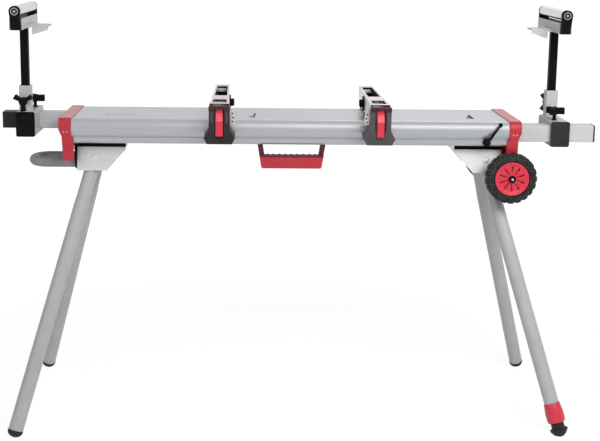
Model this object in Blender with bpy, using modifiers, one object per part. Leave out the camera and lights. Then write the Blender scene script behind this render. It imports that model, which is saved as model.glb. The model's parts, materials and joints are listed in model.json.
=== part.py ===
"""Miter saw stand: a long beam on four folding legs, with sliding arms, roller heads and two saw brackets.

Metres, +Z up, floor at z = 0. +X is the wheel end, -Y is the front with the carry handle.
Each arm's assembly is built once in a frame whose +X points outwards and is turned half round for the left end.
"""
import math

import bmesh
import bpy
from mathutils import Matrix, Vector

# Clearances
FIT_GAP = 0.0003
SLIDE_GAP = 0.0004
PIN_GAP = 0.0002
LEG_SIDE_GAP = 0.001

# How far a cutter reaches past the faces that it cuts
OVERCUT = 0.010

# Beam
BEAM_LENGTH = 1.130
BEAM_DEPTH = 0.250
BEAM_BOTTOM_Z = 0.714
BEAM_FLOOR = 0.0085
BEAM_ROOF = 0.009
BEAM_WALL = 0.0035
SHOULDER_WIDTH = 0.015
SHOULDER_DROP = 0.026
TOP_GROOVE_WIDTH = 0.004
TOP_GROOVE_DEPTH = 0.003
SIDE_GROOVE_RISE = 0.015
SIDE_GROOVE_HEIGHT = 0.005
SIDE_GROOVE_DEPTH = 0.008
LOWER_BAND_INSET = 0.004
BEAM_CHAMFER = 0.004

# Arms
ARM_WIDTH = 0.044
ARM_HEIGHT = 0.0425
ARM_WALL = 0.0025
ARM_OFFSET = 0.080
ARM_LENGTH = 1.000
ARM_REACH_RIGHT = 0.7685
ARM_REACH_LEFT = 0.7495
ARM_PLUG_RIGHT = 0.004
ARM_PLUG_LEFT = 0.042
ARM_PLUG_DEPTH = 0.020
ARM_CORNER = 0.003

# End caps
CAP_WIDTH = 0.037
CAP_END_WALL = 0.012
CAP_PROUD = 0.003
CAP_UNDERCUT = 0.002
CAP_TUCK = 0.007
SKIRT_TAPER = 0.003
SKIRT_WALL = 0.0032
SKIRT_CEILING = 0.006
SKIRT_BELOW_AXLE = 0.024

# Leg brackets and pads
BRACKET_FROM_END = 0.027
BRACKET_LENGTH = 0.121
BRACKET_SHEET = 0.003
BRACKET_NARROWING = 0.047
BRACKET_BELOW_PIVOT = 0.026
BRACKET_END_INSET = 0.0002
PAD_HEIGHT = 0.0167

# Legs
LEG_RADIUS = 0.0165
LEG_WALL = 0.002
LEG_PIVOT_INSET = 0.041
LEG_PIVOT_Y = 0.060
LEG_PIVOT_DROP = 0.049
FOOT_HALF_X = 0.6819
FOOT_HALF_Y = 0.2548
LEG_STUB = 0.018
LEG_PIN_RADIUS = 0.005
LEG_PIN_HEAD_RADIUS = 0.008
LEG_PIN_HEAD = 0.0015
LEG_NUT_RADIUS = 0.008
LEG_NUT = 0.006
LEG_FLOOR_STANDOFF = 0.014
FOOT_WALL = 0.0025
FOOT_OVERLAP = 0.022

# Height adjuster of the front right leg
COLLAR_RADIUS = 0.023
COLLAR_LENGTH = 0.050
COLLAR_ABOVE_FLOOR = 0.034
COLLAR_GRIP = 0.036
ADJUST_FOOT_RADIUS = 0.020
ADJUST_STEM = 0.090

# Wheels
WHEEL_RADIUS = 0.064
WHEEL_WIDTH = 0.038
WHEEL_TRACK = 0.293
WHEEL_AXLE_DROP = 0.076
AXLE_FROM_FACE = 0.0276
TYRE_LUG = 0.0025
TYRE_ROUND = 0.010
TYRE_LIP = 0.002
TYRE_LUGS = 12
HUB_RADIUS = 0.045
HUB_RIM = 0.005
HUB_DISH = 0.005
HUB_BOSS_RADIUS = 0.011
HUB_SLOPE = 0.002
HUB_PETALS = 10
HUB_PETAL_DEPTH = 0.006
HUB_PETAL_MARGIN = 0.0035
HUB_PETAL_NARROW = 0.0012
HUB_PETAL_BROAD = 0.0036
AXLE_RADIUS = 0.006
AXLE_SHOULDER_RADIUS = 0.010
AXLE_HEAD_RADIUS = 0.0095
AXLE_HEAD = 0.006

# Handles
TOW_RADIUS = 0.0135
TOW_HALF_SPREAD = 0.039
TOW_DROP = 0.062
TOW_REACH = 0.671
TOW_CLEARANCE = 0.0045
GRIP_HALF_TOP = 0.0855
GRIP_HALF_BOTTOM = 0.076
GRIP_BAR = 0.013
GRIP_DROP = 0.061
GRIP_HEIGHT = 0.034
GRIP_DEPTH = 0.024
GRIP_SETBACK = 0.008
GRIP_CORNER = 0.005
GRIP_POST_SETBACK = 0.010
GRIP_RIPPLES = 9
GRIP_RIPPLE = 0.002
GRIP_EDGE = 0.0015

# Carriages
CARRIAGE_X = 0.677
CARRIAGE_WIDTH = 0.048
CARRIAGE_BELOW_ARM = 0.0105
CARRIAGE_ABOVE_ARM = 0.011
CARRIAGE_WALL = 0.003
CARRIAGE_POST_END = 0.020
CARRIAGE_ARM_END = 0.012
CARRIAGE_KNOB_INSET = 0.009
CARRIAGE_PLUG = 0.004
CARRIAGE_PLUG_DEPTH = 0.006

# Posts and their sockets
POST_SIZE = 0.020
POST_WALL = 0.002
POST_SHOWN_RIGHT = 0.1533
POST_SHOWN_LEFT = 0.148
POST_ABOVE_CARRIAGE_BOTTOM = 0.004
SOCKET_WALL = 0.0042
SOCKET_HEIGHT = 0.067
POST_KNOB_HEIGHT = 0.030

# Three-arm knobs
KNOB_RADIUS = 0.025
KNOB_ARM_ROOT = 0.0046
KNOB_ARM_TIP = 0.0066
KNOB_ARM_CORNER = 0.002
KNOB_HUB_RADIUS = 0.0105
KNOB_THICKNESS = 0.017
KNOB_NECK = 0.015
KNOB_NECK_RADIUS = 0.007
KNOB_SCREW_RADIUS = 0.004
KNOB_BUTTON_RADIUS = 0.0075
KNOB_BUTTON_EDGE = 0.002

# Roller heads
HEAD_WIDTH = 0.030
HEAD_HEIGHT = 0.027
HEAD_WALL = 0.0025
ROLLER_OVERALL = 0.250
ROLLER_RADIUS = 0.0135
ROLLER_WALL = 0.0025
ROLLER_HOLE = 0.004
ROLLER_RISE = 0.0455
YOKE_END = 0.012
YOKE_STRIP = 0.003
YOKE_RIM_FRONT = 0.0042
YOKE_RIM_REAR = 0.0022
JOURNAL_RADIUS = 0.0104
STOP_REACH = 0.056
STOP_THICKNESS = 0.004
STOP_START = -0.035
STOP_LENGTH = 0.080
STOP_ROOT_DROP = 0.022
STOP_TIP_DROP = 0.009
STOP_EDGE = 0.0005
STOP_BARREL_RADIUS = 0.004
STOP_PIN_RADIUS = 0.0022
STOP_LUG = 0.006

# Arm lock levers
LOCK_FROM_END = 0.076
LOCK_HUB_RADIUS = 0.010
LOCK_HUB_LENGTH = 0.016
LOCK_SCREW_RADIUS = 0.003
LOCK_RISE = 0.0095
LOCK_REACH = 0.0555
LOCK_LEAN = 0.004
LOCK_ANGLE_RIGHT = 56
LOCK_ANGLE_LEFT = 34
LOCK_ROD_RADIUS = 0.003
LOCK_BALL_RADIUS = 0.0058

# Saw brackets
BRACKET_LEFT_X = -0.179
BRACKET_RIGHT_X = 0.213
RAIL_WIDTH = 0.037
RAIL_HEIGHT = 0.0465
RAIL_WALL = 0.003
RAIL_FRONT = 0.186
RAIL_REAR = 0.205
RAIL_SLOT = 0.027
LONG_SLOT_FRONT = -0.030
LONG_SLOT_REAR = 0.178
SHORT_SLOT_FRONT = -0.168
SHORT_SLOT_REAR = -0.100
CLAMP_WIDTH = 0.042
CLAMP_PAD = 0.004
CLAMP_HOOK = 0.012
CLAMP_LIP = 0.0025
HOUSING_TOP_WIDTH = 0.050
HOUSING_FLARE_WIDTH = 0.076
HOUSING_FOOT_WIDTH = 0.062
HOUSING_FRONT = 0.206
HOUSING_TOP_BELOW_RAIL = 0.005
HOUSING_NECK_DROP = 0.011
HOUSING_FLARE_DROP = 0.034
HOUSING_DROP = 0.050
LEVER_WIDTH = 0.021
LEVER_THICKNESS = 0.009
LEVER_TOP_BELOW_RAIL = 0.012
LEVER_LENGTH = 0.070
LEVER_KICK = 0.010
LEVER_PIVOT_DROP = 0.0065
LEVER_PIN_RADIUS = 0.003
LEVER_PIN_REACH = 0.005
LEVER_SLOT_WALL = 0.0025
LEVER_BACK_GAP = 0.004
SIDE_KNOB_RADIUS = 0.0195
SIDE_KNOB_DISC = 0.006
SIDE_KNOB_HUB_RADIUS = 0.010
SIDE_KNOB_LENGTH = 0.015
SIDE_KNOB_Y = 0.020
SIDE_KNOB_DROP = 0.024
SIDE_KNOB_SCREW_RADIUS = 0.004
SIDE_KNOB_SCREW = 0.012

# Derived positions
BEAM_CENTRE_X = (ARM_REACH_LEFT - ARM_REACH_RIGHT) / 2
HALF_LENGTH = BEAM_LENGTH / 2
HALF_DEPTH = BEAM_DEPTH / 2
ARM_LOW = BEAM_BOTTOM_Z + BEAM_FLOOR
ARM_HIGH = ARM_LOW + ARM_HEIGHT
ARM_MID = (ARM_LOW + ARM_HIGH) / 2
BEAM_TOP_Z = ARM_HIGH + BEAM_ROOF
CAP_FACE_X = HALF_LENGTH + CAP_END_WALL
LOWER_HALF = HALF_DEPTH - LOWER_BAND_INSET
SKIRT_HALF = LOWER_HALF + FIT_GAP + SKIRT_WALL
CARRIAGE_LOW = ARM_LOW - CARRIAGE_BELOW_ARM
CARRIAGE_HIGH = ARM_HIGH + CARRIAGE_ABOVE_ARM
CARRIAGE_ARM_FACE = -(ARM_OFFSET + ARM_WIDTH / 2 + CARRIAGE_ARM_END)
SOCKET_TOP = CARRIAGE_HIGH + SOCKET_HEIGHT
SOCKET_HALF = POST_SIZE / 2 + SLIDE_GAP + SOCKET_WALL
HEAD_LOWS = {"right": SOCKET_TOP + POST_SHOWN_RIGHT, "left": SOCKET_TOP + POST_SHOWN_LEFT}
HEAD_HALF_LENGTH = ROLLER_OVERALL / 2 - YOKE_END - FIT_GAP
WEB_TOP = BEAM_BOTTOM_Z - FIT_GAP - PAD_HEIGHT
BRACKET_OUTER_X = HALF_LENGTH - BRACKET_FROM_END
BRACKET_INNER_X = BRACKET_OUTER_X - BRACKET_LENGTH
LEG_PIVOT_X = BRACKET_OUTER_X - LEG_PIVOT_INSET
LEG_PIVOT_Z = BEAM_BOTTOM_Z - LEG_PIVOT_DROP
LEG_SPLAY_X = (FOOT_HALF_X - LEG_PIVOT_X) / LEG_PIVOT_Z
LEG_SPLAY_Y = (FOOT_HALF_Y - LEG_PIVOT_Y) / LEG_PIVOT_Z
LEG_TILT = math.atan(LEG_SPLAY_Y)
AXLE_X = CAP_FACE_X - AXLE_FROM_FACE
WHEEL_AXLE_Z = BEAM_BOTTOM_Z - WHEEL_AXLE_DROP
TOW_Z = BEAM_BOTTOM_Z - TOW_DROP
RAIL_LOW = BEAM_TOP_Z + 2 * FIT_GAP + CLAMP_PAD
RAIL_TOP = RAIL_LOW + RAIL_HEIGHT
SIDE_GROOVE_MID = BEAM_BOTTOM_Z + SIDE_GROOVE_RISE + SIDE_GROOVE_HEIGHT / 2
LOCK_Z = BEAM_BOTTOM_Z + LOCK_RISE
LOCK_X = HALF_LENGTH - LOCK_FROM_END
HOUSING_NECK_Z = BEAM_TOP_Z - HOUSING_NECK_DROP
HOUSING_FLARE_Z = BEAM_TOP_Z - HOUSING_FLARE_DROP
HOUSING_BOTTOM_Z = BEAM_TOP_Z - HOUSING_DROP
LEVER_SLOT_BACK = -RAIL_FRONT - LEVER_SLOT_WALL
LEVER_PIVOT_Y = LEVER_SLOT_BACK - LEVER_THICKNESS / 2 - LEVER_BACK_GAP

# Finishes: colour, roughness, metallic
FINISHES = {
    "aluminium": ((0.72, 0.73, 0.75), 0.38, 1.0),
    "zinc_steel": ((0.62, 0.63, 0.65), 0.32, 1.0),
    "grey_paint": ((0.36, 0.36, 0.38), 0.45, 0.0),
    "pale_paint": ((0.58, 0.59, 0.60), 0.45, 0.0),
    "red_plastic": ((0.55, 0.02, 0.03), 0.35, 0.0),
    "black_paint": ((0.03, 0.03, 0.032), 0.4, 0.0),
    "black_plastic": ((0.03, 0.03, 0.032), 0.5, 0.0),
    "rubber": ((0.025, 0.025, 0.026), 0.8, 0.0),
    "tyre": ((0.025, 0.025, 0.026), 0.7, 0.0),
}

PLANES = {
    "XY": (Matrix.Identity(4), Vector((0, 0, 1))),
    "XZ": (Matrix.Rotation(math.pi / 2, 4, "X"), Vector((0, 1, 0))),
    "YZ": (Matrix(((0, 0, 1, 0), (1, 0, 0, 0), (0, 1, 0, 0), (0, 0, 0, 1))), Vector((1, 0, 0))),
}

AXES = {
    "X": Matrix.Rotation(math.pi / 2, 4, "Y"),
    "Y": Matrix.Rotation(-math.pi / 2, 4, "X"),
    "Z": Matrix.Identity(4),
}

for leftover in list(bpy.data.objects):
    bpy.data.objects.remove(leftover)

SCENE = bpy.context.scene
PARTS = bpy.data.collections.new("miter_saw_stand")
CUTTERS = bpy.data.collections.new("cutters")
SCENE.collection.children.link(PARTS)
SCENE.collection.children.link(CUTTERS)


def cleaned(mesh):
    """Welds doubled points, removes faces without area and turns the rest outwards."""
    work = bmesh.new()
    work.from_mesh(mesh)
    bmesh.ops.remove_doubles(work, verts=work.verts, dist=1e-6)
    bmesh.ops.dissolve_degenerate(work, edges=work.edges, dist=1e-6)
    bmesh.ops.recalc_face_normals(work, faces=work.faces)
    work.to_mesh(mesh)
    work.free()
    return mesh


def baked(maker, matrix):
    """The evaluated mesh of a construction object, which is then removed."""
    graph = bpy.context.evaluated_depsgraph_get()
    mesh = bpy.data.meshes.new_from_object(maker.evaluated_get(graph))
    bpy.data.objects.remove(maker)
    mesh.transform(matrix)
    return cleaned(mesh)


def slab(loops, low, high, plane):
    """Closed outlines, the inner ones as holes, made into a plate from low to high along the plane's normal."""
    curve = bpy.data.curves.new("outline", "CURVE")
    curve.dimensions = "2D"
    curve.fill_mode = "BOTH"
    curve.extrude = (high - low) / 2
    for loop in loops:
        spline = curve.splines.new("POLY")
        spline.points.add(len(loop) - 1)
        for point, (across, up) in zip(spline.points, loop):
            point.co = (across, up, 0, 1)
        spline.use_cyclic_u = True
    maker = bpy.data.objects.new("outline", curve)
    SCENE.collection.objects.link(maker)
    turn, normal = PLANES[plane]
    return baked(maker, Matrix.Translation(normal * (low + high) / 2) @ turn)


def turned(profile, steps, axis="Z", closed=False):
    """A profile of (radius, height), outer side top to bottom, turned round the axis."""
    mesh = bpy.data.meshes.new("profile")
    links = [(i, i + 1) for i in range(len(profile) - 1)]
    if closed:
        links.append((len(profile) - 1, 0))
    mesh.from_pydata([(radius, 0, height) for radius, height in profile], links, [])
    maker = bpy.data.objects.new("profile", mesh)
    SCENE.collection.objects.link(maker)
    screw = maker.modifiers.new("turn", "SCREW")
    screw.axis = "Z"
    screw.angle = 2 * math.pi
    screw.steps = steps
    screw.render_steps = steps
    screw.use_merge_vertices = True
    screw.merge_threshold = 1e-5
    return baked(maker, AXES[axis])


def rod(radius, low, high, axis, steps=20):
    """A plain round bar from low to high along the axis through the origin."""
    return turned([(0, high), (radius, high), (radius, low), (0, low)], steps, axis)


def bent_tube(points, radius, resolution=4):
    """A round bar along a line of points, with closed ends."""
    curve = bpy.data.curves.new("path", "CURVE")
    curve.dimensions = "3D"
    curve.bevel_depth = radius
    curve.bevel_resolution = resolution
    curve.use_fill_caps = True
    spline = curve.splines.new("POLY")
    spline.points.add(len(points) - 1)
    for point, position in zip(spline.points, points):
        point.co = (*position, 1)
    maker = bpy.data.objects.new("path", curve)
    SCENE.collection.objects.link(maker)
    return baked(maker, Matrix.Identity(4))


def block(low, high):
    """A box between two corners."""
    mesh = bpy.data.meshes.new("block")
    work = bmesh.new()
    bmesh.ops.create_cube(work, size=1)
    work.to_mesh(mesh)
    work.free()
    size = [high[i] - low[i] for i in range(3)]
    middle = [(high[i] + low[i]) / 2 for i in range(3)]
    mesh.transform(Matrix.Translation(middle) @ Matrix.Diagonal((*size, 1)))
    return mesh


def shifted(mesh, x=0.0, y=0.0, z=0.0):
    mesh.transform(Matrix.Translation((x, y, z)))
    return mesh


def joined(meshes):
    """Several separate bodies in one mesh, for use as one cutter."""
    work = bmesh.new()
    for mesh in meshes:
        work.from_mesh(mesh)
    result = bpy.data.meshes.new("joined")
    work.to_mesh(result)
    work.free()
    return result


def material(name, finish):
    colour, roughness, metallic = FINISHES[finish]
    made = bpy.data.materials.new(name + "_" + finish)
    made.use_nodes = True
    shader = made.node_tree.nodes["Principled BSDF"]
    shader.inputs["Base Color"].default_value = (*colour, 1)
    shader.inputs["Roughness"].default_value = roughness
    shader.inputs["Metallic"].default_value = metallic
    made.diffuse_color = (*colour, 1)
    return made


def empty(name, parent=None, location=(0, 0, 0), turn=0.0):
    made = bpy.data.objects.new(name, None)
    PARTS.objects.link(made)
    made.parent = parent
    made.location = location
    made.rotation_euler = (0, 0, turn)
    return made


def add_part(name, mesh, finish, parent, location=(0, 0, 0), rotation=(0, 0, 0), smooth=30):
    """One piece in its own node, with its origin at location in the parent's frame."""
    mesh.name = name
    mesh.shade_smooth()
    mesh.set_sharp_from_angle(angle=math.radians(smooth))
    mesh.materials.clear()
    mesh.materials.append(material(name, finish))
    made = bpy.data.objects.new(name, mesh)
    PARTS.objects.link(made)
    made.parent = parent
    made.location = location
    made.rotation_euler = rotation
    return made


def combine(part, mesh, operation, parent=None, location=None):
    """Joins a body to a part or cuts it away. The body shares the part's own frame unless a parent is given."""
    tool = bpy.data.objects.new(part.name + "_" + operation.lower(), mesh)
    CUTTERS.objects.link(tool)
    if parent is None:
        tool.parent = part.parent
        tool.location = part.location
        tool.rotation_euler = part.rotation_euler
    else:
        tool.parent = parent
        tool.location = location
    tool.hide_render = True
    tool.display_type = "WIRE"
    step = part.modifiers.new(operation.lower(), "BOOLEAN")
    step.operation = operation
    step.solver = "EXACT"
    step.object = tool


def cut(part, mesh, parent=None, location=None):
    combine(part, mesh, "DIFFERENCE", parent, location)


def fuse(part, mesh):
    combine(part, mesh, "UNION")


def soften(part, width, segments=1, angle=40):
    """A small round on the sharp edges."""
    step = part.modifiers.new("soften", "BEVEL")
    step.width = width
    step.segments = segments
    step.limit_method = "ANGLE"
    step.angle_limit = math.radians(angle)


def rectangle(low_x, low_y, high_x, high_y):
    return [(low_x, low_y), (high_x, low_y), (high_x, high_y), (low_x, high_y)]


def circle(radius, count, x=0.0, y=0.0):
    turns = [2 * math.pi * i / count for i in range(count)]
    return [(x + radius * math.cos(a), y + radius * math.sin(a)) for a in turns]


def rounded(low_x, low_y, high_x, high_y, radius, count=4):
    """A rectangle with round corners."""
    corners = [(high_x, high_y, 0), (low_x, high_y, 90), (low_x, low_y, 180), (high_x, low_y, 270)]
    points = []
    for x, y, start in corners:
        centre_x = x - radius if x == high_x else x + radius
        centre_y = y - radius if y == high_y else y + radius
        for i in range(count + 1):
            a = math.radians(start + 90 * i / count)
            points.append((centre_x + radius * math.cos(a), centre_y + radius * math.sin(a)))
    return points


def knob_outline(start):
    """Three flared arms with chamfered ends round a hub, the first arm at the angle start in degrees."""
    half = KNOB_ARM_TIP
    corner = KNOB_ARM_CORNER
    root = math.sqrt(KNOB_HUB_RADIUS ** 2 - KNOB_ARM_ROOT ** 2)
    points = []
    for i in range(3):
        a = math.radians(start + 120 * i)
        arm = [(root, -KNOB_ARM_ROOT), (KNOB_RADIUS - corner, -half), (KNOB_RADIUS, corner - half)]
        arm += [(KNOB_RADIUS, half - corner), (KNOB_RADIUS - corner, half), (root, KNOB_ARM_ROOT)]
        points += [(x * math.cos(a) - y * math.sin(a), x * math.sin(a) + y * math.cos(a)) for x, y in arm]
        for between in (50, 70):
            b = a + math.radians(between)
            points.append((KNOB_HUB_RADIUS * math.cos(b), KNOB_HUB_RADIUS * math.sin(b)))
    return points


def shoulder(grow, count=5):
    """Points of the beam's rear shoulder from its top edge down to the side face, grown outwards."""
    width = SHOULDER_WIDTH
    drop = SHOULDER_DROP
    points = []
    for i in range(count + 1):
        a = math.radians(90 * i / count)
        across = HALF_DEPTH + grow - width + width * math.sin(a)
        points.append((across, BEAM_TOP_Z + grow - drop + drop * math.cos(a)))
    return points


def mirrored_loop(side):
    """A closed outline from points of its +Y half, listed top to bottom."""
    return side + [(-across, up) for across, up in reversed(side)]


def beam_section():
    edge = HALF_DEPTH - SHOULDER_WIDTH
    low = SIDE_GROOVE_MID - SIDE_GROOVE_HEIGHT / 2
    high = SIDE_GROOVE_MID + SIDE_GROOVE_HEIGHT / 2
    band = LOWER_HALF
    side = [(edge - TOP_GROOVE_WIDTH, BEAM_TOP_Z), (edge - TOP_GROOVE_WIDTH / 2, BEAM_TOP_Z - TOP_GROOVE_DEPTH)]
    side += shoulder(0.0)
    side += [(band, high), (HALF_DEPTH - SIDE_GROOVE_DEPTH, high), (HALF_DEPTH - SIDE_GROOVE_DEPTH, low)]
    side += [(band, low), (band, BEAM_BOTTOM_Z + BEAM_CHAMFER), (band - BEAM_CHAMFER, BEAM_BOTTOM_Z)]
    return mirrored_loop(side)


def plain_beam_section(grow):
    """The beam's section without its grooves, grown all round."""
    side = shoulder(grow)
    side += [(LOWER_HALF + grow, SIDE_GROOVE_MID + SIDE_GROOVE_HEIGHT / 2), (LOWER_HALF + grow, BEAM_BOTTOM_Z - grow)]
    return mirrored_loop(side)


def build_beam(stand):
    half_arm = ARM_WIDTH / 2 + SLIDE_GAP
    low = ARM_LOW - SLIDE_GAP
    high = ARM_HIGH + SLIDE_GAP
    loops = [beam_section()]
    for side in (-1, 1):
        middle = side * ARM_OFFSET
        loops.append(rectangle(middle - half_arm, low, middle + half_arm, high))
        inner = ARM_OFFSET + half_arm + BEAM_WALL
        outer = HALF_DEPTH - SIDE_GROOVE_DEPTH - BEAM_WALL
        near, far = sorted((side * inner, side * outer))
        loops.append(rectangle(near, low, far, BEAM_TOP_Z - SHOULDER_DROP))
    core = ARM_OFFSET - half_arm - BEAM_WALL
    loops.append(rectangle(-core, low, core, high))
    beam = add_part("beam", slab(loops, -HALF_LENGTH, HALF_LENGTH, "YZ"), "aluminium", stand)
    for side in (-1, 1):
        hole = rod(LOCK_SCREW_RADIUS + PIN_GAP, ARM_OFFSET, HALF_DEPTH + OVERCUT, "Y", 16)
        if side > 0:
            hole.transform(Matrix.Rotation(math.pi, 4, "Z"))
        cut(beam, shifted(hole, side * LOCK_X, 0, LOCK_Z))


def cap_section(bottom):
    """The red band over the beam's top and sides, and the skirt just outside the beam's lower band."""
    side = shoulder(CAP_PROUD)
    side += [(LOWER_HALF + CAP_PROUD + CAP_UNDERCUT, SIDE_GROOVE_MID), (SKIRT_HALF, SIDE_GROOVE_MID - CAP_UNDERCUT)]
    side += [(SKIRT_HALF, bottom)]
    return mirrored_loop(side)


def build_end_cap(stand, name, side):
    """side is +1 for the wheel end and -1 for the tow handle's end."""
    bottom = TOW_Z + TOW_RADIUS + TOW_CLEARANCE
    if side > 0:
        bottom = WHEEL_AXLE_Z - SKIRT_BELOW_AXLE
    inner = CAP_FACE_X - CAP_WIDTH
    turn = Matrix.Rotation(0 if side > 0 else math.pi, 4, "Z")
    body = slab([cap_section(bottom)], inner, CAP_FACE_X, "YZ")
    body.transform(turn)
    cap = add_part(name, body, "red_plastic", stand)
    socket = slab([plain_beam_section(FIT_GAP)], inner - OVERCUT, HALF_LENGTH + FIT_GAP, "YZ")
    opening_low = (HALF_LENGTH - OVERCUT / 2, -ARM_OFFSET - ARM_WIDTH / 2 - SLIDE_GAP, ARM_LOW - SLIDE_GAP)
    opening_high = (CAP_FACE_X + OVERCUT, -ARM_OFFSET + ARM_WIDTH / 2 + SLIDE_GAP, ARM_HIGH + SLIDE_GAP)
    skirt_face = CAP_FACE_X - CAP_TUCK - SKIRT_TAPER
    hollow_y = SKIRT_HALF - SKIRT_WALL
    ceiling = BEAM_BOTTOM_Z - FIT_GAP - SKIRT_CEILING
    hollow = block((inner - OVERCUT, -hollow_y, bottom - OVERCUT), (skirt_face - SKIRT_WALL, hollow_y, ceiling))
    widest = BEAM_TOP_Z - SHOULDER_DROP
    slope = [(CAP_FACE_X, widest), (CAP_FACE_X - CAP_TUCK, SIDE_GROOVE_MID), (skirt_face, bottom)]
    beyond = CAP_FACE_X + OVERCUT
    slope += [(skirt_face, bottom - OVERCUT), (beyond, bottom - OVERCUT), (beyond, widest)]
    trimmed = slab([slope], -HALF_DEPTH - OVERCUT, HALF_DEPTH + OVERCUT, "XZ")
    cutters = [socket, block(opening_low, opening_high), hollow, trimmed]
    if side > 0:
        bore = rod(AXLE_RADIUS + PIN_GAP, -SKIRT_HALF - OVERCUT, SKIRT_HALF + OVERCUT, "Y", 20)
        cutters.append(shifted(bore, AXLE_X, 0, WHEEL_AXLE_Z))
    for cutter in cutters:
        cutter.transform(turn)
        cut(cap, cutter)


def plate_line(offset):
    """A flared bracket plate's plane, offset from the leg's pivot: gives its distance from the middle by height."""
    centre_y = LEG_PIVOT_Y + offset * math.cos(LEG_TILT)
    centre_z = LEG_PIVOT_Z + offset * math.sin(LEG_TILT)
    return lambda z: centre_y + (centre_z - z) * LEG_SPLAY_Y


def pin_matrix(side_x, side_y):
    """Frame at a leg's pivot: Z down the leg, Y outwards along the pivot pin."""
    along = Vector((side_x * LEG_SPLAY_X, side_y * LEG_SPLAY_Y, -1)).normalized()
    out = Vector((0, side_y * math.cos(LEG_TILT), math.sin(LEG_TILT)))
    across = out.cross(along)
    turn = Matrix((across, out, along)).transposed().to_4x4()
    place = (side_x * LEG_PIVOT_X, side_y * LEG_PIVOT_Y, LEG_PIVOT_Z)
    return Matrix.Translation(place) @ turn


def build_leg_bracket(stand, name, side):
    low_x, high_x = sorted((side * BRACKET_INNER_X, side * BRACKET_OUTER_X))
    outer_face = plate_line(LEG_RADIUS + LEG_SIDE_GAP + BRACKET_SHEET)
    inner_face = plate_line(LEG_RADIUS + LEG_SIDE_GAP)
    bottom = LEG_PIVOT_Z - BRACKET_BELOW_PIVOT
    web_low = WEB_TOP - BRACKET_SHEET
    pad_top = BEAM_BOTTOM_Z - FIT_GAP
    half = [(inner_face(WEB_TOP), pad_top), (inner_face(WEB_TOP), WEB_TOP), (outer_face(WEB_TOP), WEB_TOP)]
    half += [(outer_face(bottom), bottom), (inner_face(bottom), bottom), (inner_face(web_low), web_low)]
    part = add_part(name, slab([mirrored_loop(half)], low_x, high_x, "YZ"), "zinc_steel", stand)
    inset = BRACKET_OUTER_X - BRACKET_END_INSET
    end_x = sorted((side * inset, side * (inset - BRACKET_SHEET)))
    sunk = BRACKET_SHEET / 2
    end = [(inner_face(WEB_TOP) - 0.001, WEB_TOP - sunk), (inner_face(bottom) + sunk, bottom + 0.001)]
    fuse(part, slab([mirrored_loop(end)], end_x[0], end_x[1], "YZ"))
    inner = side * BRACKET_INNER_X
    narrow = inner + side * BRACKET_NARROWING
    slant = [(inner - side * 0.02, WEB_TOP - 2 * BRACKET_SHEET), (inner, WEB_TOP - 2 * BRACKET_SHEET)]
    slant += [(narrow, bottom), (narrow, bottom - 0.02), (inner - side * 0.02, bottom - 0.02)]
    cut(part, slab([slant], -0.2, 0.2, "XZ"))
    for front in (-1, 1):
        hole = rod(LEG_PIN_RADIUS + PIN_GAP, 0, LEG_RADIUS + 0.02, "Y", 12)
        hole.transform(pin_matrix(side, front))
        cut(part, hole)


def leg_reach(z):
    """Length along a leg from its pivot down to a height z."""
    return (LEG_PIVOT_Z - z) * math.sqrt(1 + LEG_SPLAY_X ** 2 + LEG_SPLAY_Y ** 2)


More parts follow.
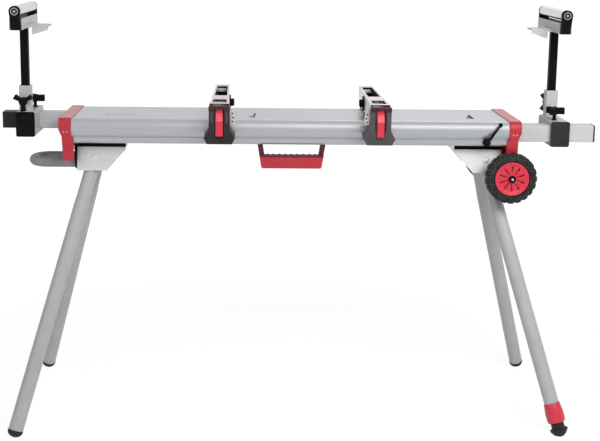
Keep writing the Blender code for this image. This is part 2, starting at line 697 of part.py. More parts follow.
def build_leg(stand, ending, side_x, side_y):
    frame = pin_matrix(side_x, side_y)
    place = frame.to_translation()
    turn = frame.to_euler()
    adjustable = side_x > 0 and side_y < 0
    floor = leg_reach(0)
    tube_end = floor - LEG_FLOOR_STANDOFF
    if adjustable:
        tube_end = floor - COLLAR_ABOVE_FLOOR - COLLAR_LENGTH + COLLAR_GRIP
    bore = LEG_RADIUS - LEG_WALL
    profile = [(LEG_RADIUS, tube_end), (LEG_RADIUS, -LEG_STUB), (bore, -LEG_STUB), (bore, tube_end)]
    tube = turned(profile, 20, closed=True)
    leg = add_part("leg_" + ending, tube, "grey_paint", stand, place, turn)
    cut(leg, rod(LEG_PIN_RADIUS + PIN_GAP, -0.05, 0.05, "Y", 12))

    plate_out = LEG_RADIUS + LEG_SIDE_GAP + BRACKET_SHEET
    head_low = plate_out + FIT_GAP
    nut_high = -LEG_RADIUS - LEG_SIDE_GAP
    shank = LEG_PIN_RADIUS
    pin = [(0, head_low + LEG_PIN_HEAD), (LEG_PIN_HEAD_RADIUS * 0.8, head_low + LEG_PIN_HEAD)]
    pin += [(LEG_PIN_HEAD_RADIUS, head_low + LEG_PIN_HEAD * 0.6), (LEG_PIN_HEAD_RADIUS, head_low)]
    pin += [(shank, head_low), (shank, nut_high), (LEG_NUT_RADIUS, nut_high)]
    pin += [(LEG_NUT_RADIUS, nut_high - LEG_NUT), (0, nut_high - LEG_NUT)]
    add_part("leg_pin_" + ending, turned(pin, 12, "Y"), "zinc_steel", stand, place, turn)

    below = floor + 0.03
    if adjustable:
        collar_low = floor - COLLAR_ABOVE_FLOOR
        collar_high = collar_low - COLLAR_LENGTH
        stem = bore - SLIDE_GAP
        collar = [(COLLAR_RADIUS * 0.93, collar_low), (COLLAR_RADIUS, collar_low - COLLAR_LENGTH * 0.12)]
        collar += [(COLLAR_RADIUS, collar_low - COLLAR_LENGTH * 0.55)]
        collar += [(COLLAR_RADIUS * 0.86, collar_high), (LEG_RADIUS + FIT_GAP, collar_high)]
        collar += [(LEG_RADIUS + FIT_GAP, tube_end + FIT_GAP), (stem + SLIDE_GAP, tube_end + FIT_GAP)]
        collar += [(stem + SLIDE_GAP, collar_low)]
        add_part("foot_lock_collar", turned(collar, 20, closed=True), "red_plastic", stand, place, turn)
        top = collar_low + FIT_GAP
        cup = [(0, below), (ADJUST_FOOT_RADIUS, below), (ADJUST_FOOT_RADIUS, top), (stem, top)]
        cup += [(stem, top - ADJUST_STEM), (0, top - ADJUST_STEM)]
    else:
        radius = LEG_RADIUS + FIT_GAP + FOOT_WALL
        inside = LEG_RADIUS + FIT_GAP
        top = tube_end - FOOT_OVERLAP
        cup = [(0, below), (radius * 1.04, below), (radius, top), (inside, top)]
        cup += [(inside, tube_end + FIT_GAP), (0, tube_end + FIT_GAP)]
    foot = add_part("foot_" + ending, turned(cup, 20), "rubber", stand, place, turn)
    centre = (side_x * FOOT_HALF_X, side_y * FOOT_HALF_Y, 0)
    cut(foot, block((-0.1, -0.1, -0.1), (0.1, 0.1, 0)), stand, centre)


def build_wheel(stand, ending, side):
    centre = (AXLE_X, side * WHEEL_TRACK / 2, WHEEL_AXLE_Z)
    half = WHEEL_WIDTH / 2
    tread = WHEEL_RADIUS - TYRE_LUG
    rim = HUB_RADIUS + FIT_GAP
    edge = tread - TYRE_ROUND
    profile = [(rim, half - TYRE_LIP), (rim + TYRE_LIP, half), (edge, half), (tread, half - TYRE_ROUND)]
    profile += [(radius, -height) for radius, height in reversed(profile)]
    tyre = add_part("tyre_" + ending, turned(profile, 24, "Y", closed=True), "tyre", stand, centre)
    bars = []
    wide = math.pi * WHEEL_RADIUS / TYRE_LUGS * 0.62
    foot = -TYRE_LUG / 2
    side_view = [(-wide * 1.1, foot), (-wide * 0.8, TYRE_LUG), (wide * 0.8, TYRE_LUG), (wide * 1.1, foot)]
    for i in range(TYRE_LUGS):
        for half_turn in (0, 1):
            bar = shifted(slab([side_view], FIT_GAP, half - TYRE_LIP, "XZ"), 0, 0, tread)
            bar.transform(Matrix.Rotation(half_turn * math.pi, 4, "Z"))
            bar.transform(Matrix.Rotation(2 * math.pi * (i + 0.5 * half_turn) / TYRE_LUGS, 4, "Y"))
            bars.append(bar)
    fuse(tyre, joined(bars))

    face = half - TYRE_LIP
    dish = face - HUB_DISH
    boss = HUB_BOSS_RADIUS
    lip = HUB_RADIUS - HUB_RIM
    bore = AXLE_RADIUS + PIN_GAP
    hub_profile = [(bore, face), (boss, face), (boss + HUB_SLOPE, dish), (lip - HUB_SLOPE, dish), (lip, face)]
    hub_profile.append((HUB_RADIUS, face))
    hub_profile += [(radius, -height) for radius, height in reversed(hub_profile)]
    hub = add_part("wheel_hub_" + ending, turned(hub_profile, 24, "Y", closed=True), "red_plastic", stand, centre)
    petals = []
    near = boss + HUB_PETAL_MARGIN
    far = lip - HUB_PETAL_MARGIN
    narrow = HUB_PETAL_NARROW
    broad = HUB_PETAL_BROAD
    half_petal = [(narrow, near), (broad, far - broad), (broad * 0.6, far)]
    outline = half_petal + [(-across, up) for across, up in reversed(half_petal)]
    low, high = sorted((side * (dish - HUB_PETAL_DEPTH), side * (face + OVERCUT)))
    for i in range(HUB_PETALS):
        petal = slab([outline], low, high, "XZ")
        petal.transform(Matrix.Rotation(2 * math.pi * i / HUB_PETALS, 4, "Y"))
        petals.append(petal)
    cut(hub, joined(petals))


def build_axle(stand):
    inner = WHEEL_TRACK / 2 - WHEEL_WIDTH / 2 - FIT_GAP
    outer = WHEEL_TRACK / 2 + WHEEL_WIDTH / 2 - TYRE_LIP + FIT_GAP
    skirt = SKIRT_HALF + FIT_GAP
    half = [(0, outer + AXLE_HEAD), (AXLE_HEAD_RADIUS * 0.7, outer + AXLE_HEAD)]
    half += [(AXLE_HEAD_RADIUS, outer + AXLE_HEAD * 0.4), (AXLE_HEAD_RADIUS, outer), (AXLE_RADIUS, outer)]
    half += [(AXLE_RADIUS, inner), (AXLE_SHOULDER_RADIUS, inner), (AXLE_SHOULDER_RADIUS, skirt)]
    half.append((AXLE_RADIUS, skirt))
    profile = half + [(radius, -height) for radius, height in reversed(half)]
    add_part("wheel_axle", turned(profile, 12, "Y"), "zinc_steel", stand, (AXLE_X, 0, WHEEL_AXLE_Z))


def build_handles(stand):
    start = -BRACKET_OUTER_X - FIT_GAP
    bend = TOW_REACH - TOW_HALF_SPREAD - TOW_RADIUS
    points = [(start, -TOW_HALF_SPREAD, TOW_Z)]
    for i in range(13):
        a = math.radians(270 - 15 * i)
        points.append((-bend + TOW_HALF_SPREAD * math.cos(a), TOW_HALF_SPREAD * math.sin(a), TOW_Z))
    points.append((start, TOW_HALF_SPREAD, TOW_Z))
    add_part("tow_handle", bent_tube(points, TOW_RADIUS), "grey_paint", stand)

    high = BEAM_BOTTOM_Z - FIT_GAP
    low = high - GRIP_DROP
    grip_high = low + GRIP_HEIGHT
    corner = GRIP_CORNER
    outer = [(-GRIP_HALF_TOP, high), (-GRIP_HALF_BOTTOM, low + corner)]
    for i in range(1, 5):
        a = math.radians(180 + 22.5 * i)
        outer.append((-GRIP_HALF_BOTTOM + corner + corner * math.cos(a), low + corner + corner * math.sin(a)))
    outer += [(-across, up) for across, up in reversed(outer)]
    inner = [(GRIP_HALF_TOP - GRIP_BAR, high)]
    half_grip = (GRIP_HALF_BOTTOM + GRIP_HALF_TOP) / 2 - GRIP_BAR
    steps = GRIP_RIPPLES * 4
    for i in range(steps + 1):
        across = half_grip - 2 * half_grip * i / steps
        wave = GRIP_RIPPLE * 0.5 * (1 + math.cos(2 * math.pi * GRIP_RIPPLES * i / steps))
        inner.append((across, grip_high - wave))
    inner.append((-GRIP_HALF_TOP + GRIP_BAR, high))
    front = -HALF_DEPTH + GRIP_SETBACK
    handle = add_part("carry_handle", slab([outer + inner], front, front + GRIP_DEPTH, "XZ"), "red_plastic", stand)
    soften(handle, GRIP_EDGE, 1, 50)
    reach = GRIP_HALF_TOP + OVERCUT
    cut(handle, block((-reach, front - OVERCUT, grip_high), (reach, front + GRIP_POST_SETBACK, high + OVERCUT)))


def build_knob(name, parent, place, start, screw, axis):
    """A three-arm knob on a threaded stem: Z up for axis Z, pointing along +Y for axis Y."""
    low = KNOB_NECK
    body = slab([knob_outline(start)], low, low + KNOB_THICKNESS, "XY")
    stem_top = low + KNOB_THICKNESS * 0.5
    stem = [(0, stem_top), (KNOB_NECK_RADIUS, stem_top), (KNOB_NECK_RADIUS, 0), (KNOB_SCREW_RADIUS, 0)]
    stem += [(KNOB_SCREW_RADIUS, -screw), (0, -screw)]
    neck = turned(stem, 10)
    dome_low = low + KNOB_THICKNESS * 0.5
    dome_high = low + KNOB_THICKNESS * 1.12
    button = KNOB_BUTTON_RADIUS
    edge = KNOB_BUTTON_EDGE
    profile = [(0, dome_high), (button - edge, dome_high), (button, dome_high - edge), (button, dome_low)]
    profile.append((0, dome_low))
    dome = turned(profile, 12)
    for mesh in (body, neck, dome):
        mesh.transform(AXES[axis])
    knob = add_part(name, body, "black_plastic", parent, place)
    fuse(knob, neck)
    fuse(knob, dome)


def build_arm(side_frame, ending, reach, plug, lever, lobes):
    """One arm with all that it carries. In this frame +X points outwards and the arm is on the -Y side.

    lever is the lock lever's angle above level, lobes the first arms' angles of the carriage knob and the post knob.
    """
    half_w = ARM_WIDTH / 2
    half_h = ARM_HEIGHT / 2
    inner_end = reach - ARM_LENGTH
    tube_end = reach - plug
    section = rounded(-half_w, -half_h, half_w, half_h, ARM_CORNER, 2)
    hole = rectangle(-half_w + ARM_WALL, -half_h + ARM_WALL, half_w - ARM_WALL, half_h - ARM_WALL)
    arm_frame = (0, -ARM_OFFSET, ARM_MID)
    add_part("arm_" + ending, slab([section, hole], inner_end, tube_end, "YZ"), "aluminium", side_frame, arm_frame)
    stopper = slab([section], tube_end + FIT_GAP, reach, "YZ")
    end_cap = add_part("arm_end_cap_" + ending, stopper, "black_plastic", side_frame, arm_frame)
    gap = ARM_WALL + FIT_GAP
    insert = rectangle(-half_w + gap, -half_h + gap, half_w - gap, half_h - gap)
    fuse(end_cap, slab([insert], tube_end - ARM_PLUG_DEPTH, tube_end + ARM_PLUG_RIGHT / 2, "YZ"))

    hub_back = -LOWER_HALF - FIT_GAP
    hub_front = hub_back - LOCK_HUB_LENGTH
    tip = -ARM_OFFSET - half_w - FIT_GAP
    profile = [(0, tip), (LOCK_SCREW_RADIUS, tip), (LOCK_SCREW_RADIUS, hub_back), (LOCK_HUB_RADIUS, hub_back)]
    profile += [(LOCK_HUB_RADIUS * 0.85, hub_front + 0.002), (LOCK_HUB_RADIUS * 0.7, hub_front), (0, hub_front)]
    lock_place = (LOCK_X, 0, LOCK_Z)
    lock = add_part("arm_lock_lever_" + ending, turned(profile, 16, "Y"), "black_plastic", side_frame, lock_place)
    rod_y = hub_front + LOCK_HUB_LENGTH / 3
    out_x = LOCK_REACH * math.cos(math.radians(lever))
    out_z = LOCK_REACH * math.sin(math.radians(lever))
    bend = [(0, rod_y, 0), (out_x * 0.5, rod_y - LOCK_LEAN / 2, out_z * 0.5), (out_x, rod_y - LOCK_LEAN, out_z)]
    fuse(lock, bent_tube(bend, LOCK_ROD_RADIUS, 2))
    ball = []
    for i in range(7):
        a = math.radians(90 - 30 * i)
        ball.append((LOCK_BALL_RADIUS * math.cos(a) if 0 < i < 6 else 0, LOCK_BALL_RADIUS * math.sin(a)))
    fuse(lock, shifted(turned(ball, 12), out_x, rod_y - LOCK_LEAN, out_z))

    build_carriage(side_frame, ending, lobes)


def build_carriage(side_frame, ending, lobes):
    half = CARRIAGE_WIDTH / 2
    place = (CARRIAGE_X, 0, 0)
    wall = CARRIAGE_WALL
    tube_front = CARRIAGE_ARM_FACE + CARRIAGE_PLUG + FIT_GAP
    tube_rear = CARRIAGE_POST_END - CARRIAGE_PLUG - FIT_GAP
    outline = rounded(-half, CARRIAGE_LOW, half, CARRIAGE_HIGH, 0.004, 2)
    hollow = rectangle(-half + wall, CARRIAGE_LOW + wall, half - wall, CARRIAGE_HIGH - wall)
    body = slab([outline, hollow], tube_front, tube_rear, "XZ")
    carriage = add_part("carriage_" + ending, body, "pale_paint", side_frame, place)
    low_y = -ARM_OFFSET - ARM_WIDTH / 2 - SLIDE_GAP
    high_y = -ARM_OFFSET + ARM_WIDTH / 2 + SLIDE_GAP
    cut(carriage, block((-0.1, low_y, ARM_LOW - SLIDE_GAP), (0.1, high_y, ARM_HIGH + SLIDE_GAP)))
    socket = SOCKET_HALF
    fuse(carriage, block((-socket, -socket, CARRIAGE_HIGH - wall / 2), (socket, socket, SOCKET_TOP)))
    post_half = POST_SIZE / 2 + SLIDE_GAP
    shaft_low = CARRIAGE_LOW - OVERCUT
    shaft_high = SOCKET_TOP + OVERCUT
    cut(carriage, block((-post_half, -post_half, shaft_low), (post_half, post_half, shaft_high)))
    screw = KNOB_SCREW_RADIUS + PIN_GAP
    bore = rod(screw, ARM_HIGH - SLIDE_GAP, CARRIAGE_HIGH + OVERCUT, "Z", 16)
    cut(carriage, shifted(bore, -CARRIAGE_KNOB_INSET, -ARM_OFFSET))
    post_knob_z = CARRIAGE_HIGH + POST_KNOB_HEIGHT
    cut(carriage, shifted(rod(screw, 0, socket + OVERCUT, "Y", 16), 0, 0, post_knob_z))

    gap = wall + FIT_GAP
    insert = rectangle(-half + gap, CARRIAGE_LOW + gap, half - gap, CARRIAGE_HIGH - gap)
    rim = rounded(-half, CARRIAGE_LOW, half, CARRIAGE_HIGH, 0.005, 3)
    post_plug = slab([rim], CARRIAGE_POST_END - CARRIAGE_PLUG, CARRIAGE_POST_END, "XZ")
    cap = add_part("carriage_post_cap_" + ending, post_plug, "black_plastic", side_frame, place)
    fuse(cap, slab([insert], tube_rear - CARRIAGE_PLUG_DEPTH + 0.001, CARRIAGE_POST_END - CARRIAGE_PLUG / 2, "XZ"))
    arm_plug = slab([rim], CARRIAGE_ARM_FACE, CARRIAGE_ARM_FACE + CARRIAGE_PLUG, "XZ")
    cap = add_part("carriage_arm_cap_" + ending, arm_plug, "black_plastic", side_frame, place)
    fuse(cap, slab([insert], CARRIAGE_ARM_FACE + CARRIAGE_PLUG / 2, tube_front + CARRIAGE_PLUG_DEPTH, "XZ"))

    seat = CARRIAGE_HIGH + FIT_GAP
    knob_place = (CARRIAGE_X - CARRIAGE_KNOB_INSET, -ARM_OFFSET, seat)
    build_knob("carriage_knob_" + ending, side_frame, knob_place, lobes[0], seat - ARM_HIGH - FIT_GAP, "Z")
    face = socket + FIT_GAP
    knob_place = (CARRIAGE_X, face, post_knob_z)
    build_knob("post_knob_" + ending, side_frame, knob_place, lobes[1], face - POST_SIZE / 2 - FIT_GAP, "Y")
    build_head(side_frame, ending)


def build_head(side_frame, ending):
    head_low = HEAD_LOWS[ending]
    roller_z = head_low + ROLLER_RISE
    size = POST_SIZE / 2
    inner = size - POST_WALL
    outline = rounded(-size, -size, size, size, 0.002, 2)
    hollow = rectangle(-inner, -inner, inner, inner)
    post_low = CARRIAGE_LOW + POST_ABOVE_CARRIAGE_BOTTOM
    place = (CARRIAGE_X, 0, 0)
    post = slab([outline, hollow], post_low, head_low - FIT_GAP, "XY")
    add_part("post_" + ending, post, "black_paint", side_frame, place)

    half = HEAD_WIDTH / 2
    floor = head_low + HEAD_WALL
    top = head_low + HEAD_HEIGHT
    slot = half - HEAD_WALL
    section = [(-half, head_low), (half, head_low), (half, top), (slot, top), (slot, floor)]
    section += [(-slot, floor), (-slot, top), (-half, top)]
    channel = slab([section], -HEAD_HALF_LENGTH, HEAD_HALF_LENGTH, "XZ")
    head = add_part("head_channel_" + ending, channel, "pale_paint", side_frame, place)
    rear = 1 if ending == "right" else -1
    hinge_x = -half - STOP_BARREL_RADIUS - FIT_GAP
    hinge_z = head_low + STOP_BARREL_RADIUS + FIT_GAP
    ear = STOP_BARREL_RADIUS
    for start in (STOP_START - FIT_GAP - STOP_LUG, STOP_START + STOP_LENGTH + FIT_GAP):
        low_y, high_y = sorted((rear * start, rear * (start + STOP_LUG)))
        lug = block((hinge_x - ear, low_y, hinge_z - ear), (-half + HEAD_WALL / 2, high_y, hinge_z + ear))
        fuse(head, lug)
    pin_low = STOP_START - FIT_GAP - STOP_LUG
    pin_high = STOP_START + STOP_LENGTH + FIT_GAP + STOP_LUG
    low_y, high_y = sorted((rear * (pin_low - 0.001), rear * (pin_high + 0.001)))
    cut(head, shifted(rod(STOP_PIN_RADIUS + PIN_GAP, low_y, high_y, "Y", 16), hinge_x, 0, hinge_z))

    end = STOP_START + STOP_LENGTH
    flat = [(0, rear * STOP_START), (0, rear * end), (-STOP_REACH * 0.8, rear * (end - STOP_LENGTH * 0.1))]
    flat += [(-STOP_REACH, rear * (end - STOP_LENGTH * 0.3)), (-STOP_REACH, rear * STOP_START)]
    blade = slab([flat], -STOP_THICKNESS / 2, STOP_THICKNESS / 2, "XY")
    stop_place = (CARRIAGE_X + hinge_x, 0, hinge_z)
    stop = add_part("stop_plate_" + ending, blade, "pale_paint", side_frame, stop_place)
    low_y, high_y = sorted((rear * STOP_START, rear * (STOP_START + STOP_LENGTH)))
    fuse(stop, rod(STOP_BARREL_RADIUS, low_y, high_y, "Y", 12))
    root = -STOP_BARREL_RADIUS * 1.5
    tip = -STOP_REACH + STOP_EDGE
    gusset = [(root, 0), (tip, 0), (tip, -STOP_TIP_DROP), (root, -STOP_ROOT_DROP)]
    near_y = STOP_START + STOP_EDGE
    low_y, high_y = sorted((rear * near_y, rear * (near_y + STOP_THICKNESS)))
    fuse(stop, slab([gusset], low_y, high_y, "XZ"))
    low_y, high_y = sorted((rear * pin_low, rear * pin_high))
    fuse(stop, rod(STOP_PIN_RADIUS, low_y, high_y, "Y", 10))

    bore = circle(JOURNAL_RADIUS + PIN_GAP, 20, 0, roller_z)
    outer = ROLLER_OVERALL / 2
    inner_y = outer - YOKE_END
    yoke_half = half - HEAD_WALL - FIT_GAP
    strip_low = floor + FIT_GAP
    sunk = YOKE_END / 6
    strip = block((-yoke_half, -inner_y - sunk, strip_low), (yoke_half, inner_y + sunk, strip_low + YOKE_STRIP))
    yoke = add_part("roller_yoke_" + ending, strip, "black_plastic", side_frame, place)
    for way, rim in ((-rear, YOKE_RIM_FRONT), (rear, YOKE_RIM_REAR)):
        ring = JOURNAL_RADIUS + PIN_GAP + rim
        end_half = min(half - FIT_GAP, ring)
        plate = [(-end_half, head_low), (end_half, head_low), (end_half, head_low + HEAD_HEIGHT * 0.6)]
        for i in range(13):
            a = math.radians(-20 + 220 * i / 12)
            plate.append((ring * math.cos(a), roller_z + ring * math.sin(a)))
        plate.append((-end_half, head_low + HEAD_HEIGHT * 0.6))
        low_y, high_y = sorted((way * inner_y, way * outer))
        fuse(yoke, slab([plate, bore], low_y, high_y, "XZ"))

    drum = inner_y - FIT_GAP
    bore = ROLLER_RADIUS - ROLLER_WALL
    half_profile = [(ROLLER_HOLE, outer), (JOURNAL_RADIUS, outer), (JOURNAL_RADIUS, drum), (ROLLER_RADIUS, drum)]
    profile = half_profile + [(radius, -height) for radius, height in reversed(half_profile)]
    profile += [(ROLLER_HOLE, -drum), (bore, -drum + ROLLER_WALL), (bore, drum - ROLLER_WALL), (ROLLER_HOLE, drum)]
    drum_mesh = turned(profile, 20, "Y", closed=True)
    add_part("roller_" + ending, drum_mesh, "zinc_steel", side_frame, (CARRIAGE_X, 0, roller_z))


def clamp_section():
    """The clamp body from the side: over the beam's top and down both shoulders into the side grooves."""
    pad_top = BEAM_TOP_Z + FIT_GAP + CLAMP_PAD
    outer = HALF_DEPTH + FIT_GAP + CLAMP_HOOK
    lip_low = SIDE_GROOVE_MID - SIDE_GROOVE_HEIGHT / 2 + FIT_GAP
    lip_high = SIDE_GROOVE_MID + SIDE_GROOVE_HEIGHT / 2 - FIT_GAP
    inside = shoulder(FIT_GAP)
    lip = LOWER_HALF - CLAMP_LIP
    inside += [(LOWER_HALF + FIT_GAP, lip_high), (lip, lip_high), (lip, lip_low)]
    outside = [(outer, lip_low), (outer, BEAM_TOP_Z - CLAMP_PAD), (outer - CLAMP_HOOK / 2, pad_top)]
    half = inside + outside
    left = [(-across, up) for across, up in half]
    return half + list(reversed(left))


def build_saw_bracket(stand, ending, centre, inward):
    frame = empty("saw_bracket_" + ending, stand, (centre, 0, 0))
    half = RAIL_WIDTH / 2
    hollow = half - RAIL_WALL
    section = [(-half, RAIL_LOW), (-half, RAIL_TOP), (half, RAIL_TOP), (half, RAIL_LOW), (hollow, RAIL_LOW)]
    section += [(hollow, RAIL_TOP - RAIL_WALL), (-hollow, RAIL_TOP - RAIL_WALL), (-hollow, RAIL_LOW)]
    rail = add_part("saw_rail_" + ending, slab([section], -RAIL_FRONT, RAIL_REAR, "XZ"), "aluminium", frame)
    slot = RAIL_SLOT / 2
    for start, stop in ((LONG_SLOT_FRONT, LONG_SLOT_REAR), (SHORT_SLOT_FRONT, SHORT_SLOT_REAR)):
        window = rounded(-slot, start, slot, stop, 0.004, 2)
        cut(rail, slab([window], RAIL_TOP - RAIL_WALL * 1.5, RAIL_TOP + OVERCUT, "XY"))
    knob_z = RAIL_TOP - SIDE_KNOB_DROP
    hole = rod(SIDE_KNOB_SCREW_RADIUS + PIN_GAP, 0, half + OVERCUT, "X", 16)
    if inward < 0:
        hole.transform(Matrix.Rotation(math.pi, 4, "Z"))
    cut(rail, shifted(hole, 0, SIDE_KNOB_Y, knob_z))

    wide = CLAMP_WIDTH / 2
    clamp = add_part("bracket_clamp_" + ending, slab([clamp_section()], -wide, wide, "YZ"), "black_plastic", frame)
    top = RAIL_TOP - HOUSING_TOP_BELOW_RAIL
    back = -HALF_DEPTH - FIT_GAP
    front_view = []
    for across, up in ((HOUSING_TOP_WIDTH, top), (HOUSING_TOP_WIDTH, HOUSING_NECK_Z),
                       (HOUSING_FLARE_WIDTH, HOUSING_FLARE_Z), (HOUSING_FOOT_WIDTH, HOUSING_BOTTOM_Z)):
        front_view.append((across / 2, up))
    housing = slab([mirrored_loop(front_view)], -HOUSING_FRONT, back, "XZ")
    shell = bpy.data.objects.new("bracket_housing_" + ending, housing)
    CUTTERS.objects.link(shell)
    shell.parent = frame
    shell.hide_render = True
    shell.display_type = "WIRE"
    fall = HOUSING_FRONT - HALF_DEPTH
    over = top + OVERCUT
    under = HOUSING_BOTTOM_Z - OVERCUT
    side_view = [(back + OVERCUT, over), (-HOUSING_FRONT, over), (-HOUSING_FRONT, HOUSING_NECK_Z)]
    side_view += [(-HOUSING_FRONT + fall * 0.2, HOUSING_FLARE_Z), (-HOUSING_FRONT + fall * 0.35, under)]
    side_view += [(back + OVERCUT, under)]
    combine(shell, slab([side_view], -HOUSING_FLARE_WIDTH, HOUSING_FLARE_WIDTH, "YZ"), "INTERSECT")
    step = clamp.modifiers.new("housing", "BOOLEAN")
    step.operation = "UNION"
    step.solver = "EXACT"
    step.object = shell
    cradle = half + FIT_GAP
    cradle_low = (-cradle, -RAIL_FRONT - FIT_GAP, RAIL_LOW - FIT_GAP)
    cut(clamp, block(cradle_low, (cradle, RAIL_REAR + OVERCUT, RAIL_TOP + OVERCUT)))

    slot = LEVER_WIDTH / 2 + SLIDE_GAP
    lever_top = RAIL_TOP - LEVER_TOP_BELOW_RAIL
    lever_low = lever_top - LEVER_LENGTH
    slot_low = (-slot, -HOUSING_FRONT - OVERCUT, lever_low - LEVER_BACK_GAP)
    cut(clamp, block(slot_low, (slot, LEVER_SLOT_BACK, lever_top + LEVER_BACK_GAP / 2)))
    pivot_y = LEVER_PIVOT_Y
    pivot_z = lever_top - LEVER_PIVOT_DROP
    near = LEVER_THICKNESS / 2
    low = lever_low - pivot_z
    bend = low * 0.42
    outline = [(-near, LEVER_PIVOT_DROP - 0.002), (-near + 0.002, LEVER_PIVOT_DROP), (near - 0.002, LEVER_PIVOT_DROP)]
    outline += [(near, LEVER_PIVOT_DROP - 0.002), (near, bend), (near - LEVER_KICK, low), (-near - LEVER_KICK, low)]
    outline += [(-near, bend)]
    blade = slab([outline], -LEVER_WIDTH / 2, LEVER_WIDTH / 2, "YZ")
    lever = add_part("clamp_lever_" + ending, blade, "red_plastic", frame, (0, pivot_y, pivot_z))
    reach = LEVER_WIDTH / 2 + LEVER_PIN_REACH
    fuse(lever, rod(LEVER_PIN_RADIUS, -reach, reach, "X", 16))
    bore = rod(LEVER_PIN_RADIUS + PIN_GAP, -reach - FIT_GAP, reach + FIT_GAP, "X", 16)
    cut(clamp, shifted(bore, 0, pivot_y, pivot_z))

    face = half + FIT_GAP
    hub = SIDE_KNOB_HUB_RADIUS
    profile = [(0, SIDE_KNOB_LENGTH), (hub * 0.8, SIDE_KNOB_LENGTH), (hub, SIDE_KNOB_LENGTH - hub * 0.2)]
    profile += [(hub, SIDE_KNOB_DISC), (SIDE_KNOB_RADIUS, SIDE_KNOB_DISC), (SIDE_KNOB_RADIUS, 0)]
    profile += [(SIDE_KNOB_SCREW_RADIUS, 0), (SIDE_KNOB_SCREW_RADIUS, -SIDE_KNOB_SCREW), (0, -SIDE_KNOB_SCREW)]
    knob = turned(profile, 16, "X")
    if inward < 0:
        knob.transform(Matrix.Rotation(math.pi, 4, "Z"))
    add_part("bracket_knob_" + ending, knob, "black_plastic", frame, (inward * face, SIDE_KNOB_Y, knob_z))


def main():
    stand = empty("stand_frame", None, (BEAM_CENTRE_X, 0, 0))
    right = empty("right_end", stand)
    left = empty("left_end", stand, turn=math.pi)
    build_beam(stand)
    build_end_cap(stand, "end_cap_right", 1)
    build_end_cap(stand, "end_cap_left", -1)
    build_leg_bracket(stand, "leg_bracket_right", 1)
    build_leg_bracket(stand, "leg_bracket_left", -1)
    for along, side_x in (("left", -1), ("right", 1)):
        for across, side_y in (("front", -1), ("rear", 1)):
            build_leg(stand, across + "_" + along, side_x, side_y)
    build_wheel(stand, "front", -1)
    build_wheel(stand, "rear", 1)
    build_axle(stand)
    build_handles(stand)
    build_arm(right, "right", ARM_REACH_RIGHT, ARM_PLUG_RIGHT, LOCK_ANGLE_RIGHT, (0, 0))
    build_arm(left, "left", ARM_REACH_LEFT, ARM_PLUG_LEFT, LOCK_ANGLE_LEFT, (180, 90))
    build_saw_bracket(stand, "left", BRACKET_LEFT_X, 1)
    build_saw_bracket(stand, "right", BRACKET_RIGHT_X, -1)


main()
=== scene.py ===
"""Looks of the miter saw stand: rounded pieces, finishes, small fittings, floor, light and camera.

Metres, +Z up, +X is the wheel end, -Y is the front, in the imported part's own frame.
"""
import json
import math

import bmesh
import bpy
from mathutils import Matrix, Vector


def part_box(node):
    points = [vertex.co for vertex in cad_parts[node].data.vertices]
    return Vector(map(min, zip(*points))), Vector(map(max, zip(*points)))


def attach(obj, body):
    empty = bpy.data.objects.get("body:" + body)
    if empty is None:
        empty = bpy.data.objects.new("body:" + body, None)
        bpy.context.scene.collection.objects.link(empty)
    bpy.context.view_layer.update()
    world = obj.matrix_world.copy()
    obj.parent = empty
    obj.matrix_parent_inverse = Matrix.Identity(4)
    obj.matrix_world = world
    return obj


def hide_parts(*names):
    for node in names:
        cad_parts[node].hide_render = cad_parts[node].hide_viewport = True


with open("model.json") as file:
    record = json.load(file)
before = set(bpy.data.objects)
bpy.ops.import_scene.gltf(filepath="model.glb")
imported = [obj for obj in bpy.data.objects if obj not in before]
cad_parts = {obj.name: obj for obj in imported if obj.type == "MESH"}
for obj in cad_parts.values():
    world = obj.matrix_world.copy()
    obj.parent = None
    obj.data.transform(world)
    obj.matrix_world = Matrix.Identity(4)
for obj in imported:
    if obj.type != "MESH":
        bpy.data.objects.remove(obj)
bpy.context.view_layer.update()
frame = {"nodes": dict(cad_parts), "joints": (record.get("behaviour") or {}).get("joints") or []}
SCENE = bpy.context.scene
CAD = frame["nodes"]

# Clearances, the overreach of cutting bodies, and the margin for choosing faces by their place
SLIDE_GAP = 0.0004
FIT_GAP = 0.0003
OVERCUT = 0.01
FACE_MARGIN = 0.0002

# Beam, as in the part, from its middle
HALF_LENGTH = 0.565
HALF_DEPTH = 0.125
LOWER_HALF = 0.121
BEAM_LOW = 0.714
BEAM_TOP = 0.774
BEAM_CHAMFER = 0.004
ARM_LOW = 0.7225
ARM_HIGH = 0.765
ARM_OFFSET = 0.080
ARM_HALF_WIDTH = 0.022
SHOULDER_WIDTH = 0.015
SHOULDER_DROP = 0.026
GROOVE_LOW = 0.729
GROOVE_HIGH = 0.734
GROOVE_DEPTH = 0.008
# Lines along the beam's top: distance from the middle, half width and depth
SEAMS = (
    (0.030, 0.0010, 0.0010),
    (0.078, 0.0008, 0.0008),
    (HALF_DEPTH - SHOULDER_WIDTH - 0.002, 0.0020, 0.0030),
)
# Shallow pocket in the beam's top and the tongue in it: low and high corners and corner radius
POCKET = (-0.4725, -0.037, -0.396, -0.028, 0.0044)
POCKET_DEPTH = 0.002
TONGUE = (-0.465, -0.035, -0.403, -0.030, 0.0024)
TONGUE_SINK = 0.0004
TONGUE_DEPTH = 0.005
# Notches in the beam's top: x of each, and its outline from there
TICK = (
    (-0.016, -0.046), (-0.002, -0.066), (0.006, -0.066),
    (0.0075, 0.012), (0.004, 0.012), (-0.0005, -0.044),
)
WEDGE = ((-0.014, -0.056), (0.007, -0.060), (0.007, 0.012), (0.003, 0.012))
NOTCHES = ((-0.0975, TICK), (0.461, WEDGE))
NOTCH_DEPTH = 0.005
NOTCH_REACH = 0.018
NOTCH_FRONT = -0.067
NOTCH_REAR = 0.013

